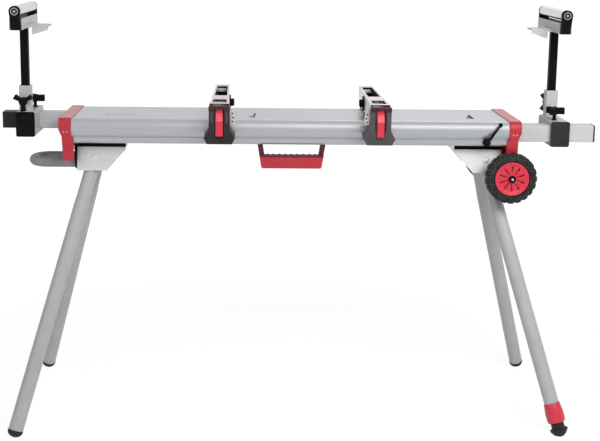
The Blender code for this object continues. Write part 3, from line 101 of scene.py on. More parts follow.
# End caps
CAP_FACE = 0.577
CAP_WIDTH = 0.031
CAP_PROUD = 0.003
CAP_TUCK = 0.007
CAP_SCREW_X = CAP_FACE - 0.0214
CAP_SCREW_Z = 0.743
CAP_SCREW_STEP = 0.0082
SKIRT_WIDTH = 0.037
SKIRT_TAPER = 0.003
SKIRT_WALL = 0.0032
SKIRT_HALF = 0.1245
SKIRT_LOW = {"left": 0.670, "right": 0.614}
SKIRT_CEILING = BEAM_LOW - 0.0063
# Further out than the caps on both sides
CLEAR_OF_CAP = 0.15

# Legs. The part's tube has LEG_RADIUS; the one shown is LEG_THICK, and LEG_NEAR between its bracket's plates
LEG_PIVOT = (0.497, 0.060, 0.665)
LEG_SPLAY = (0.27805, 0.29293)
LEG_RADIUS = 0.0165
LEG_THICK = 0.0183
LEG_NEAR = 0.0174
LEG_STUB = 0.018
LEG_WALL = 0.002
FOOT_LENGTH = 0.018
ADJUSTER_LENGTH = 0.048
COLLAR_LIFT = 0.034
COLLAR_LENGTH = 0.050
BRACKET_WEB = 0.697
BRACKET_SHEET = 0.003
BRACKET_GAP = 0.001
CATCH_PLACE = (0.5384, 0.070, 0.641)

# Wheels
WHEEL_CENTRE_X = 0.5494
WHEEL_CENTRE_Z = 0.638
WHEEL_TRACK = 0.293
WHEEL_WIDTH = 0.038
WHEEL_RADIUS = 0.064
TREAD_RADIUS = WHEEL_RADIUS - 0.0014
LUG_COUNT = 20
HUB_RADIUS = 0.045
HUB_FACE = WHEEL_WIDTH / 2 - 0.002
HUB_DISH = HUB_FACE - 0.005
HUB_RIM = 0.0428
PETAL_COUNT = 10
AXLE_RADIUS = 0.006
AXLE_BORE = 0.0062

# Levers, handles, knobs and heads
LOCK_PLACE = (0.489, -0.1213, 0.7235)
LOCK_REACH = 0.0555
LOCK_ANGLES = {"right": 56, "left": 34}
LOCK_FRONT = -0.016
BALL_RADIUS = 0.0058
# Height of the carry handle's plain red; above it the handle is drawn dark as painted shade
GRIP_RED_HEIGHT = 0.0284
TOW_Z = 0.652
TOW_SPREAD = 0.039
TOW_RADIUS = 0.0135
KNOB_HEIGHT = 0.034
KNOB_NECK = 0.015
KNOB_STARTS = {
    "carriage_knob_right": 0,
    "carriage_knob_left": 180,
    "post_knob_right": 0,
    "post_knob_left": 90,
}
# The yoke's rings: radius in the part and the slimmer one shown
YOKE_RINGS = ((0.0148, 0.0137), (0.0106, 0.0099))
BLADE_ROOT = 0.012
BLADE_SHARE = 0.78

# Saw rails and clamps
RAIL_WALL = 0.003
RAIL_FRONT_HALF = 0.0240
RAIL_REAR_HALF = 0.0183
CLAMP_HALF = 0.0256
LEVER_GAP = 0.0112
EAR_SETBACK = 0.026
BLOCK_FRONT = -0.092
BLOCK_REAR = -0.080
# Strips beside a clamp lever: near and far x and length
FRAME_STRIP = (LEVER_GAP, 0.0144, 0.045)
RIDGES = ((0.0160, 0.0170, 0.027), (0.0179, 0.0189, 0.027), (0.0198, 0.0207, 0.027))

# Lamps: place, target, size and watts
LAMPS = {
    "key_lamp": ((0.9, -2.3, 2.3), (0.1, 0, 0.65), (1.6, 1.2), 62),
    "sheen_lamp": ((1.0, -2.3, 2.3), (0.2, 0, 0.65), (2.4, 1.4), 16),
    "fill_lamp": ((-2.4, -2.6, 1.5), (-0.2, 0, 0.6), (1.6, 1.2), 5),
    "rear_lamp": ((1.2, 2.6, 2.6), (0.2, 0, 0.7), (2.0, 1.0), 10),
}


def shift(x, y, z):
    """A move along the three axes."""
    return Matrix.Translation((x, y, z))


def spin(angle, axis):
    """A turn about one axis, in radians."""
    return Matrix.Rotation(angle, 4, axis)


BEAM_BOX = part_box("beam")
STAND = shift((BEAM_BOX[0].x + BEAM_BOX[1].x) / 2, 0, 0)
ENDS = {"right": STAND, "left": STAND @ spin(math.pi, "Z")}
ALONG_X = spin(math.pi / 2, "Y")
ALONG_Y = spin(-math.pi / 2, "X")
MIRROR_X = Matrix.Diagonal((-1, 1, 1, 1))
PLANES = {
    "XY": Matrix.Identity(4),
    "XZ": Matrix(((1, 0, 0, 0), (0, 0, 1, 0), (0, 1, 0, 0), (0, 0, 0, 1))),
    "YZ": Matrix(((0, 0, 1, 0), (1, 0, 0, 0), (0, 1, 0, 0), (0, 0, 0, 1))),
}


def linear(code):
    """An sRGB hex colour as linear red, green, blue and full alpha."""
    parts = [int(code[i:i + 2], 16) / 255 for i in (1, 3, 5)]
    return tuple(p / 12.92 if p <= 0.04045 else ((p + 0.055) / 1.055) ** 2.4 for p in parts) + (1.0,)


def add(tree, kind, inputs=None, **settings):
    """Adds a node with its settings. An input takes a value or the output of another node."""
    node = tree.nodes.new(kind)
    for name, value in settings.items():
        setattr(node, name, value)
    for name, value in (inputs or {}).items():
        if isinstance(value, bpy.types.NodeSocket):
            tree.links.new(value, node.inputs[name])
        else:
            node.inputs[name].default_value = value
    return node


def finish(name, tone, second, roughness, cloud, grain, height,
           metallic=0.0, run=(1, 1, 1), edge_wear_and_highlight=None, specular=0.5):
    """A procedural finish. Lengths are real sizes in metres.

    Two tones drift into each other over patches of the size cloud. The grain gives the bump, of that height,
    and breaks up the gloss. run stretches both, for drawn or brushed metal. edge_wear_and_highlight is the
    tone
    of the edges: rubbed wear on most finishes, and on the tyre a painted highlight on its tread blocks.
    """
    made = bpy.data.materials.new(name)
    made.use_nodes = True
    tree = made.node_tree
    shader = tree.nodes["Principled BSDF"]
    shader.inputs["Metallic"].default_value = metallic
    shader.inputs["Specular IOR Level"].default_value = specular
    place = add(tree, "ShaderNodeTexCoord").outputs["Object"]
    drawn = add(tree, "ShaderNodeMapping", {"Vector": place, "Scale": run}).outputs["Vector"]
    patches = {"Vector": drawn, "Scale": 1 / cloud, "Detail": 4.0}
    drift = add(tree, "ShaderNodeTexNoise", patches).outputs["Fac"]
    patches = {"Vector": drawn, "Scale": 1 / grain, "Detail": 3.0}
    fine = add(tree, "ShaderNodeTexNoise", patches).outputs["Fac"]
    spread = {"Value": drift, "From Min": 0.35, "From Max": 0.65}
    level = add(tree, "ShaderNodeMapRange", spread).outputs["Result"]
    spread = {"Value": fine, "From Min": 0.3, "From Max": 0.7}
    speck = add(tree, "ShaderNodeMapRange", spread).outputs["Result"]
    share = add(tree, "ShaderNodeMath", {0: level, 1: speck}, operation="MULTIPLY").outputs[0]
    tones = {"Factor": share, 6: linear(tone), 7: linear(second)}
    colour = add(tree, "ShaderNodeMix", tones, data_type="RGBA").outputs[2]
    if edge_wear_and_highlight:
        normal = add(tree, "ShaderNodeNewGeometry").outputs["Normal"]
        soft = add(tree, "ShaderNodeBevel", {"Radius": 0.0012}, samples=4).outputs["Normal"]
        facing = add(tree, "ShaderNodeVectorMath", {0: normal, 1: soft}, operation="DOT_PRODUCT")
        spread = {"Value": facing.outputs["Value"], "From Min": 0.985, "From Max": 0.88}
        edge = add(tree, "ShaderNodeMapRange", spread).outputs["Result"]
        share = add(tree, "ShaderNodeMath", {0: edge, 1: level}, operation="MULTIPLY").outputs[0]
        tones = {"Factor": share, 6: colour, 7: linear(edge_wear_and_highlight)}
        colour = add(tree, "ShaderNodeMix", tones, data_type="RGBA").outputs[2]
    tree.links.new(colour, shader.inputs["Base Color"])
    spread = {"Value": fine, "From Min": 0.25, "From Max": 0.75}
    spread.update({"To Min": roughness * 0.88, "To Max": roughness * 1.12})
    gloss = add(tree, "ShaderNodeMapRange", spread).outputs["Result"]
    tree.links.new(gloss, shader.inputs["Roughness"])
    bump = add(tree, "ShaderNodeBump", {"Height": fine, "Distance": height}).outputs["Normal"]
    tree.links.new(bump, shader.inputs["Normal"])
    return made


# Anodised extrusion: faint die lines along the beam, a soft silky sheen
ANODISED = finish("anodised_aluminium", "#adafb2", "#a4a6aa", 0.31, 0.024, 0.0016, 0.000004,
                  0.7, (0.02, 1, 1), "#b8babc")
# Brighter mill-finished aluminium of the saw rails and the plates beside them: drawn lines along y.
# Its pinkish tint is a painted reflection of the red mouldings close by
BRIGHT_RAIL = finish("bright_aluminium", "#d2c9cc", "#c4bbbf", 0.36, 0.05, 0.0014, 0.00005,
                     0.8, (1, 0.03, 1), "#e0dadc")
# Inside of the rails: the mill finish left dull, and drawn near-black as painted shade for the shade inside
# them
RAIL_INSIDE_SHADE = finish("rail_inside_painted_shade", "#2c2a2b", "#201f20", 0.70, 0.02, 0.0014, 0.00006, specular=0.1)
# Silver powder coat on the steel tubes: fine orange peel, drawn at 1.5 mm so that it shows
POWDER = finish("silver_powder_coat", "#abadaf", "#9ea0a2", 0.34, 0.05, 0.0015, 0.00010, 0.12, edge_wear_and_highlight="#bcbdbf")
# Darker, duller coat of the tow tube, darkened further as painted shade;
# and painted shade on the walls and floors of the beam's notches
DARK_POWDER_AND_SHADE = finish("grey_coat_and_painted_shade", "#8a898b", "#7b7b7e", 0.46, 0.05, 0.0015, 0.00010,
                     0.25, edge_wear_and_highlight="#98989a")
# Zinc-plated folded sheet and leg pins: rolled streaks and cloudy passivation
ZINC = finish("zinc_plated_sheet", "#cbccce", "#babcbe", 0.38, 0.03, 0.0012, 0.00005,
              0.9, (0.06, 1, 1), "#e2e2e3")
# Pale grey stove enamel on the arms, carriages and heads: smooth, half-matt
ENAMEL = finish("pale_grey_enamel", "#bdbebf", "#b2b3b5", 0.44, 0.06, 0.0022, 0.00005, 0.1, edge_wear_and_highlight="#cfcfd0")
# Moulded red ABS of the end caps and the handle: even colour, half gloss
RED = finish("red_abs_moulding", "#b02031", "#a51c2b", 0.28, 0.05, 0.0011, 0.00004, edge_wear_and_highlight="#c4404b")
# Brighter red ABS of the levers, hubs and collar, with the same half gloss
BRIGHT_RED = finish("bright_red_abs_moulding", "#cc2a40", "#c12438", 0.30, 0.04, 0.0010, 0.00004,
                    edge_wear_and_highlight="#dc5464")
# The levers' hollow thumb slopes, drawn paler as painted sheen where they face up to the light
SHEEN_RED = finish("red_abs_painted_sheen", "#e0505f", "#d54453", 0.32, 0.03, 0.0010, 0.00004,
                  edge_wear_and_highlight="#ee8590")
# Glass-filled black nylon: spark-eroded grain, dull sheen, a little greyer on rubbed edges
NYLON = finish("black_nylon_moulding", "#101011", "#18181a", 0.50, 0.03, 0.0009, 0.00009,
               edge_wear_and_highlight="#242425", specular=0.05)
# Charcoal nylon of the left clamp body and the arms' plugs, a little lighter; on the right carriage's plugs
# it is painted light, a lit copy of the left ones' black
CHARCOAL = finish("charcoal_nylon_moulding", "#262425", "#312e30", 0.50, 0.03, 0.0009, 0.00009,
                  edge_wear_and_highlight="#474346", specular=0.2)
# Painted light: the same nylon in a lighter grey with more sheen for the right clamp body, a lit copy of the
# left one's charcoal
LIT_NYLON = finish("nylon_painted_light", "#474546", "#3c3a3b", 0.46, 0.03, 0.0009, 0.00009,
                    edge_wear_and_highlight="#6a6768", specular=0.4)
# Dark red-brown of the moulded ABS, half-matt: on the carry handle's upper edge and posts it is painted
# shade, under the beam's overhang; on the hubs' rims it darkens them where they meet the tyre
MAROON_AND_SHADE = finish("maroon_and_painted_shade", "#561d2c", "#481724", 0.42, 0.02, 0.0009, 0.00006,
                edge_wear_and_highlight="#5a2a36", specular=0.3)
# The same ABS where it is nearly black, on the clamps' lips and the strips beside their levers
DARK_MAROON = finish("dark_maroon_moulding", "#38191f", "#2c1419", 0.42, 0.02, 0.0009, 0.00006,
                     edge_wear_and_highlight="#6b4a50", specular=0.3)
# The same ABS in a mauve grey, on the ridges beside the clamp levers
RIDGE_GREY = finish("ridge_moulding", "#5f5459", "#50464b", 0.45, 0.02, 0.0009, 0.00006,
                    edge_wear_and_highlight="#85787e", specular=0.3)
# Black paint on the square posts: smoother than the mouldings, and as dull
BLACK_PAINT = finish("black_post_paint", "#0c0c0d", "#131314", 0.48, 0.05, 0.0016, 0.00004,
                     edge_wear_and_highlight="#1c1c1d", specular=0.05)
# Tyre and foot rubber: dusty and matt, the tyre slightly green-grey, its tread blocks' pale edges a painted
# highlight
TYRE = finish("tyre_rubber", "#1d1f1c", "#2c2f29", 0.70, 0.006, 0.0012, 0.00012,
              edge_wear_and_highlight="#858a80", specular=0.25)
FOOT_RUBBER = finish("foot_rubber", "#1f1d1e", "#2a2728", 0.66, 0.015, 0.0013, 0.00010, specular=0.3)
# Drawn and ground steel of the rollers, the axle and the caps' screws: bright, with fine lines along y
STEEL = finish("ground_steel", "#c9cacb", "#b8b9bb", 0.24, 0.02, 0.0010, 0.00003, 1.0, (1, 0.05, 1))
# Oxide-black steel of the ears' screws and the rollers' bearing recesses: dark, with a low sheen
DARK_STEEL = finish("black_oxide_screw", "#3c3c3f", "#4a4a4d", 0.38, 0.006, 0.0008, 0.00003, 0.9)


def evaluated(mesh, prepare):
    """The mesh with the modifiers that prepare adds, made plain again."""
    maker = bpy.data.objects.new("maker", mesh)
    SCENE.collection.objects.link(maker)
    helpers = prepare(maker) or []
    graph = bpy.context.evaluated_depsgraph_get()
    made = bpy.data.meshes.new_from_object(maker.evaluated_get(graph))
    for leftover in [maker] + helpers:
        bpy.data.objects.remove(leftover)
    return made


def tidy(mesh, flat=True):
    """Welds doubled points and turns faces outwards; flat faces cut into triangles become one face again."""
    work = bmesh.new()
    work.from_mesh(mesh)
    bmesh.ops.remove_doubles(work, verts=work.verts, dist=2e-6)
    bmesh.ops.dissolve_degenerate(work, edges=work.edges, dist=2e-6)
    if flat:
        bmesh.ops.dissolve_limit(work, angle_limit=math.radians(0.5), verts=work.verts, edges=work.edges)
    bmesh.ops.recalc_face_normals(work, faces=work.faces)
    work.to_mesh(mesh)
    work.free()
    return mesh


def cad_copy(node):
    """A CAD node's own mesh, welded."""
    return tidy(CAD[node].data.copy())


def joint_place(child):
    """A point on the axis of the joint that carries a body."""
    return Vector(next(joint for joint in frame["joints"] if joint["child"] == child)["pos_m"])


def eased(mesh, width, segments=3, angle=35):
    """Rounds the sharp edges and keeps flat faces flat to the eye."""
    def prepare(maker):
        bevel = maker.modifiers.new("round", "BEVEL")
        bevel.width = width
        bevel.segments = segments
        bevel.limit_method = "ANGLE"
        bevel.angle_limit = math.radians(angle)
        bevel.miter_outer = "MITER_ARC"
        maker.modifiers.new("flat", "WEIGHTED_NORMAL").keep_sharp = True
    mesh.shade_smooth()
    return evaluated(mesh, prepare)


def evened(mesh, angle=32):
    """Smooth shading that leaves large flat faces flat, for a mesh cut after its edges were rounded."""
    def prepare(maker):
        maker.modifiers.new("flat", "WEIGHTED_NORMAL").keep_sharp = True
    mesh.shade_smooth()
    mesh.set_sharp_from_angle(angle=math.radians(angle))
    return evaluated(mesh, prepare)


def cut(mesh, cutters):
    """Cuts bodies from a mesh."""
    def prepare(maker):
        helpers = []
        for cutter in cutters:
            helper = bpy.data.objects.new("helper", cutter)
            SCENE.collection.objects.link(helper)
            step = maker.modifiers.new("step", "BOOLEAN")
            step.operation = "DIFFERENCE"
            step.solver = "EXACT"
            step.object = helper
            helpers.append(helper)
        return helpers
    return tidy(evaluated(mesh, prepare))


def slab(loops, low, high, plane="XY"):
    """Closed outlines, the inner ones as holes, made a plate from low to high along the plane's normal."""
    curve = bpy.data.curves.new("outline", "CURVE")
    curve.dimensions = "2D"
    curve.fill_mode = "BOTH"
    curve.extrude = (high - low) / 2
    for loop in loops:
        spline = curve.splines.new("POLY")
        spline.points.add(len(loop) - 1)
        for point, (across, up) in zip(spline.points, loop):
            point.co = (across, up, 0, 1)
        spline.use_cyclic_u = True
    mesh = evaluated(curve, lambda maker: None)
    mesh.transform(shift(0, 0, (low + high) / 2))
    mesh.transform(PLANES[plane])
    return tidy(mesh)


def turned(profile, steps=48, closed=False):
    """A profile of (radius, height) turned round Z: a ring where closed, else with both ends on Z."""
    work = bmesh.new()
    rings = []
    for radius, height in profile:
        if radius < 1e-7:
            rings.append([work.verts.new((0, 0, height))])
            continue
        turns = [2 * math.pi * i / steps for i in range(steps)]
        rings.append([work.verts.new((radius * math.cos(a), radius * math.sin(a), height)) for a in turns])
    pairs = list(zip(rings, rings[1:]))
    if closed:
        pairs.append((rings[-1], rings[0]))
    for upper, lower in pairs:
        for i in range(steps):
            j = (i + 1) % steps
            corners = [upper[i % len(upper)], lower[i % len(lower)]]
            corners += [lower[j % len(lower)], upper[j % len(upper)]]
            corners = list(dict.fromkeys(corners))
            if len(corners) > 2:
                work.faces.new(corners)
    bmesh.ops.recalc_face_normals(work, faces=work.faces)
    mesh = bpy.data.meshes.new("turned")
    work.to_mesh(mesh)
    work.free()
    return mesh


def swept(points, radii, resolution):
    """A round bar along points, with a radius for each point and closed ends."""
    curve = bpy.data.curves.new("path", "CURVE")
    curve.dimensions = "3D"
    curve.bevel_resolution = resolution
    curve.use_fill_caps = True
    curve.bevel_depth = max(radii)
    spline = curve.splines.new("POLY")
    spline.points.add(len(points) - 1)
    for point, position, size in zip(spline.points, points, radii):
        point.co = (*position, 1)
        point.radius = size / max(radii)
    return tidy(evaluated(curve, lambda maker: None), flat=False)


def joined(*meshes):
    """Several bodies in one mesh, with the first one's finishes."""
    work = bmesh.new()
    for mesh in meshes:
        work.from_mesh(mesh)
    made = bpy.data.meshes.new("joined")
    work.to_mesh(made)
    work.free()
    for material in meshes[0].materials:
        made.materials.append(material)
    return made


def moved(mesh, matrix):
    """The mesh in its place, still facing outwards where the matrix mirrors it."""
    mesh.transform(matrix)
    if matrix.determinant() < 0:
        mesh.flip_normals()
    return mesh


def box(low, high):
    """A block between two corners."""
    outline = [(low[0], low[1]), (high[0], low[1]), (high[0], high[1]), (low[0], high[1])]
    return slab([outline], low[2], high[2])


def rounded(low_x, low_y, high_x, high_y, radius, count=6):
    """A rectangle with round corners."""
    points = []
    for x, y, start in ((high_x, high_y, 0), (low_x, high_y, 90), (low_x, low_y, 180), (high_x, low_y, 270)):
        centre_x = x - radius if x == high_x else x + radius
        centre_y = y - radius if y == high_y else y + radius
        for i in range(count + 1):
            a = math.radians(start + 90 * i / count)
            points.append((centre_x + radius * math.cos(a), centre_y + radius * math.sin(a)))
    return points


def both_sides(half):
    """A closed outline that is the same on both sides, from the points of one half."""
    return half + [(-across, up) for across, up in reversed(half)]


def both_ends(half):
    """A profile or outline that is the same above and below, from the points of one half."""
    return half + [(across, -up) for across, up in reversed(half)]


def show(name, mesh, material, body, slot, *nodes, smooth=32):
    """Makes a mesh a piece of the model that moves with a body and may stand for CAD nodes."""
    mesh.name = name
    if material:
        mesh.materials.clear()
        mesh.materials.append(material)
    if smooth:
        mesh.shade_smooth()
        mesh.set_sharp_from_angle(angle=math.radians(smooth))
    made = bpy.data.objects.new(name, mesh)
    SCENE.collection.objects.link(made)
    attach(made, body)
    if nodes:
        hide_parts(*nodes)


def two_tone(mesh, first, second, chosen):
    """Gives a mesh two finishes, the second on the faces that are chosen."""
    mesh.materials.clear()
    mesh.materials.append(first)
    mesh.materials.append(second)
    for face in mesh.polygons:
        face.material_index = 1 if chosen(face) else 0


def soft_copy(node, material, body, slot, width, segments=2):
    """A CAD node's own shape with its edges eased, in place of the node."""
    mesh = eased(cad_copy(node), width, segments)
    show(node + "_shell", mesh, material, body, slot, node, smooth=None)


def repeat_tree(name, sockets):
    """An empty tree for repeated pieces, with a Geometry input, the given inputs and a Finish."""
    tree = bpy.data.node_groups.new(name, "GeometryNodeTree")
    for label, kind in [("Geometry", "Geometry")] + sockets + [("Finish", "Material")]:
        tree.interface.new_socket(label, in_out="INPUT", socket_type="NodeSocket" + kind)
    tree.interface.new_socket("Geometry", in_out="OUTPUT", socket_type="NodeSocketGeometry")
    return tree, add(tree, "NodeGroupInput").outputs


def close_tree(tree, given, points, turn):
    """Sets the piece on each point, makes the copies real and gives them their finish."""
    settings = {"Points": points, "Instance": given["Geometry"], "Rotation": turn}
    copies = add(tree, "GeometryNodeInstanceOnPoints", settings)
    real = add(tree, "GeometryNodeRealizeInstances", {"Geometry": copies.outputs["Instances"]})
    settings = {"Geometry": real.outputs["Geometry"], "Material": given["Finish"]}
    painted = add(tree, "GeometryNodeSetMaterial", settings)
    add(tree, "NodeGroupOutput", {"Geometry": painted.outputs["Geometry"]})
    return tree


def ring_tree():
    """Pieces set round the Z axis, each with its X axis pointing outwards."""
    tree, given = repeat_tree("pieces_in_a_ring", [("Count", "Int"), ("Radius", "Float")])
    ring = add(tree, "GeometryNodeMeshCircle", {"Vertices": given["Count"], "Radius": given["Radius"]})
    outwards = add(tree, "GeometryNodeInputPosition").outputs["Position"]
    turn = add(tree, "FunctionNodeAlignRotationToVector", {"Vector": outwards}, axis="X", pivot_axis="Z")
    return close_tree(tree, given, ring.outputs["Mesh"], turn.outputs["Rotation"])


def row_tree():
    """Pieces set in a straight row."""
    tree, given = repeat_tree("pieces_in_a_row", [("Count", "Int"), ("Start", "Vector"), ("Step", "Vector")])
    settings = {"Count": given["Count"], "Start Location": given["Start"], "Offset": given["Step"]}
    row = add(tree, "GeometryNodeMeshLine", settings, mode="OFFSET")
    unturned = add(tree, "FunctionNodeEulerToRotation")
    return close_tree(tree, given, row.outputs["Mesh"], unturned.outputs["Rotation"])


RING = ring_tree()
ROW = row_tree()


def repeated(tree, mesh, **values):
    """The plain mesh of a piece repeated by a tree."""
    def prepare(maker):
        step = maker.modifiers.new("repeat", "NODES")
        step.node_group = tree
        for socket in tree.interface.items_tree:
            if socket.in_out == "INPUT" and socket.name in values:
                step[socket.identifier] = values[socket.name]
    return evaluated(mesh, prepare)


def screw_head(radius, height):
    """A button-head screw with a round socket, its axis along Z."""
    profile = [(0, 0.45), (0.40, 0.45), (0.46, 1), (0.72, 1), (0.92, 0.75), (1, 0.4), (1, 0), (0, 0)]
    return turned([(radius * across, height * up) for across, up in profile], 20)


def shoulder(grow, count=16):
    """Points of the beam's round shoulder from its top edge down to the side face, grown outwards."""
    points = []
    for i in range(count + 1):
        a = math.radians(90 * i / count)
        across = HALF_DEPTH + grow - SHOULDER_WIDTH + SHOULDER_WIDTH * math.sin(a)
        points.append((across, BEAM_TOP + grow - SHOULDER_DROP + SHOULDER_DROP * math.cos(a)))
    return points


def in_notch(face):
    """Whether a face of the beam, from its middle, is a wall or the floor of a notch."""
    x, y, z = face.center
    if not BEAM_TOP - NOTCH_DEPTH - FACE_MARGIN < z < BEAM_TOP - FACE_MARGIN:
        return False
    return NOTCH_FRONT < y < NOTCH_REAR and any(abs(x - notch[0]) < NOTCH_REACH for notch in NOTCHES)


def make_beam():
    """The extrusion: lines and notches on top, bull-nosed sides, a clamp groove and a set-back lower band."""
    half = []
    for middle, wide, deep in SEAMS:
        half += [(middle - wide, BEAM_TOP), (middle - wide * 0.4, BEAM_TOP - deep)]
        half += [(middle + wide * 0.4, BEAM_TOP - deep), (middle + wide, BEAM_TOP)]
    half += shoulder(0)[1:]
    groove = HALF_DEPTH - GROOVE_DEPTH
    half += [(LOWER_HALF, GROOVE_HIGH), (groove, GROOVE_HIGH), (groove, GROOVE_LOW), (LOWER_HALF, GROOVE_LOW)]
    half += [(LOWER_HALF, BEAM_LOW + BEAM_CHAMFER), (LOWER_HALF - BEAM_CHAMFER, BEAM_LOW)]
    loops = [both_sides(half)]
    reach = ARM_HALF_WIDTH + SLIDE_GAP
    for middle in (-ARM_OFFSET, ARM_OFFSET):
        low = (middle - reach, ARM_LOW - SLIDE_GAP)
        high = (middle + reach, ARM_HIGH + SLIDE_GAP)
        loops.append([low, (high[0], low[1]), high, (low[0], high[1])])
    beam = slab(loops, -HALF_LENGTH, HALF_LENGTH, "YZ")
    cutters = [slab([rounded(*POCKET)], BEAM_TOP - POCKET_DEPTH, BEAM_TOP + OVERCUT)]
    for x, outline in NOTCHES:
        placed = [(x + across, y) for across, y in outline]
        cutters.append(slab([placed], BEAM_TOP - NOTCH_DEPTH, BEAM_TOP + OVERCUT))
    beam = cut(beam, cutters)
    # The notches' walls and floors are drawn in the darker grey as painted shade
    two_tone(beam, ANODISED, DARK_POWDER_AND_SHADE, in_notch)
    tongue = slab([rounded(*TONGUE)], BEAM_TOP - TONGUE_DEPTH, BEAM_TOP - TONGUE_SINK)
    beam = moved(joined(beam, tongue), STAND)
    show("beam_extrusion", beam, None, "frame", "aluminium", "beam", smooth=24)


def make_end_cap(ending):
    """A moulded cap: band over the beam's end, skirt below, mouth for the arm, two small screws each side."""
    bottom = SKIRT_LOW[ending]
    middle = (GROOVE_LOW + GROOVE_HIGH) / 2
    inner = CAP_FACE - SKIRT_WIDTH
    outer = CAP_FACE + OVERCUT
    under = bottom - OVERCUT
    widest = BEAM_TOP - SHOULDER_DROP
    skirt_face = CAP_FACE - CAP_TUCK - SKIRT_TAPER
    half = shoulder(CAP_PROUD)
    half += [(LOWER_HALF + 0.005, middle), (SKIRT_HALF, middle - 0.002), (SKIRT_HALF, bottom)]
    slope = [(CAP_FACE, widest), (CAP_FACE - CAP_TUCK, middle), (skirt_face, bottom), (skirt_face, under)]
    slope += [(outer, under), (outer, widest)]
    slope = slab([slope], -CLEAR_OF_CAP, CLEAR_OF_CAP, "XZ")
    low = (inner - OVERCUT, -CLEAR_OF_CAP, middle - 0.002)
    above = box(low, (CAP_FACE - CAP_WIDTH, CLEAR_OF_CAP, BEAM_TOP + 2 * OVERCUT))
    cap = cut(slab([both_sides(half)], inner, CAP_FACE, "YZ"), [slope, above])
    cap = eased(cap, 0.002, 3, 40)

    plain = shoulder(FIT_GAP)
    plain += [(LOWER_HALF + FIT_GAP, GROOVE_HIGH), (LOWER_HALF + FIT_GAP, BEAM_LOW - FIT_GAP)]
    cutters = [slab([both_sides(plain)], inner - OVERCUT, HALF_LENGTH + FIT_GAP, "YZ")]
    reach = ARM_HALF_WIDTH + SLIDE_GAP
    low = (HALF_LENGTH - 0.005, -ARM_OFFSET - reach, ARM_LOW - SLIDE_GAP)
    cutters.append(box(low, (outer, -ARM_OFFSET + reach, ARM_HIGH + SLIDE_GAP)))
    inside = SKIRT_HALF - SKIRT_WALL
    low = (inner - OVERCUT, -inside, under)
    cutters.append(box(low, (skirt_face - SKIRT_WALL, inside, SKIRT_CEILING)))
    if ending == "right":
        bore = turned(both_ends([(0, 0.2), (AXLE_BORE, 0.2)]), 32)
        cutters.append(moved(bore, shift(WHEEL_CENTRE_X, 0, WHEEL_CENTRE_Z) @ ALONG_Y))
    cap = evened(moved(cut(cap, cutters), ENDS[ending]))
    name = "end_cap_" + ending
    show(name + "_moulding", cap, RED, "frame", "red_plastic", name, smooth=None)

    rows = []
    for side in (-1, 1):
        head = moved(screw_head(0.0017, 0.0008), spin(side * -math.pi / 2, "X"))
        start = (CAP_SCREW_X, side * (HALF_DEPTH + CAP_PROUD - 0.0006), CAP_SCREW_Z)
        rows.append(repeated(ROW, head, Count=2, Start=start, Step=(CAP_SCREW_STEP, 0, 0), Finish=STEEL))
    screws = moved(joined(*rows), ENDS[ending])
    show(name + "_screws", screws, STEEL, "frame", "zinc_steel")


def leg_frame(side_x, side_y):
    """Frame at a leg's pivot: Z down the leg, Y outwards along the pivot pin."""
    tilt = math.atan(LEG_SPLAY[1])
    along = Vector((side_x * LEG_SPLAY[0], side_y * LEG_SPLAY[1], -1)).normalized()
    out = Vector((0, side_y * math.cos(tilt), math.sin(tilt)))
    turn = Matrix((out.cross(along), out, along)).transposed().to_4x4()
    return STAND @ shift(side_x * LEG_PIVOT[0], side_y * LEG_PIVOT[1], LEG_PIVOT[2]) @ turn


def make_collar(place, floor, end):
    """The ribbed twist collar of the height adjuster, over the end of its leg."""
    low = floor - COLLAR_LIFT
    high = low - COLLAR_LENGTH
    over = LEG_THICK + FIT_GAP
    profile = [(0.0190, low), (0.0212, low - 0.0012), (0.0229, low - 0.006), (0.0229, low - 0.026)]
    profile += [(0.0222, low - 0.032), (0.0203, high + 0.002), (0.0190, high), (over, high)]
    profile += [(over, end + FIT_GAP), (0.0145, end + FIT_GAP), (0.0145, low)]
    rib = eased(box((-0.002, -0.0012, -0.009), (0.0006, 0.0012, 0.009)), 0.0005, 2)
    rib = moved(rib, shift(0, 0, low - 0.016))
    ribs = repeated(RING, rib, Count=18, Radius=0.0223, Finish=BRIGHT_RED)
    collar = moved(joined(turned(profile, 60, closed=True), ribs), place)
    show("foot_lock_collar_grip", collar, BRIGHT_RED, "lock_collar", "red_plastic", "foot_lock_collar")


def adjustable_foot(floor):
    """Profile of the height adjuster's foot: a wide conical cup on a stem inside the leg."""
    rim = floor - 0.0135
    top = floor - COLLAR_LIFT + FIT_GAP
    stem = top - 0.090
    profile = [(0, rim + 0.0160), (0.0080, rim + 0.0152), (0.0152, rim + 0.0100), (0.0214, rim + 0.0012)]
    profile += [(0.0222, rim - 0.0008), (0.0220, rim - 0.0040), (0.0165, rim - 0.0070), (0.0165, top)]
    return profile + [(0.0141, top), (0.0141, stem), (0, stem)]


def plain_foot(end, bore):
    """Profile of a leg's foot: a round end, and a plug inside the tube."""
    outer = LEG_THICK + 0.0006
    seat = end + FIT_GAP
    waist = seat + 0.003
    depth = 0.015
    plug = bore - FIT_GAP
    profile = [(0, waist + depth)]
    for i in range(1, 11):
        a = math.pi / 2 * i / 10
        profile.append((outer * math.sin(a), waist + depth * math.cos(a)))
    return profile + [(outer, seat), (plug, seat), (plug, end - 0.022), (0, end - 0.022)]


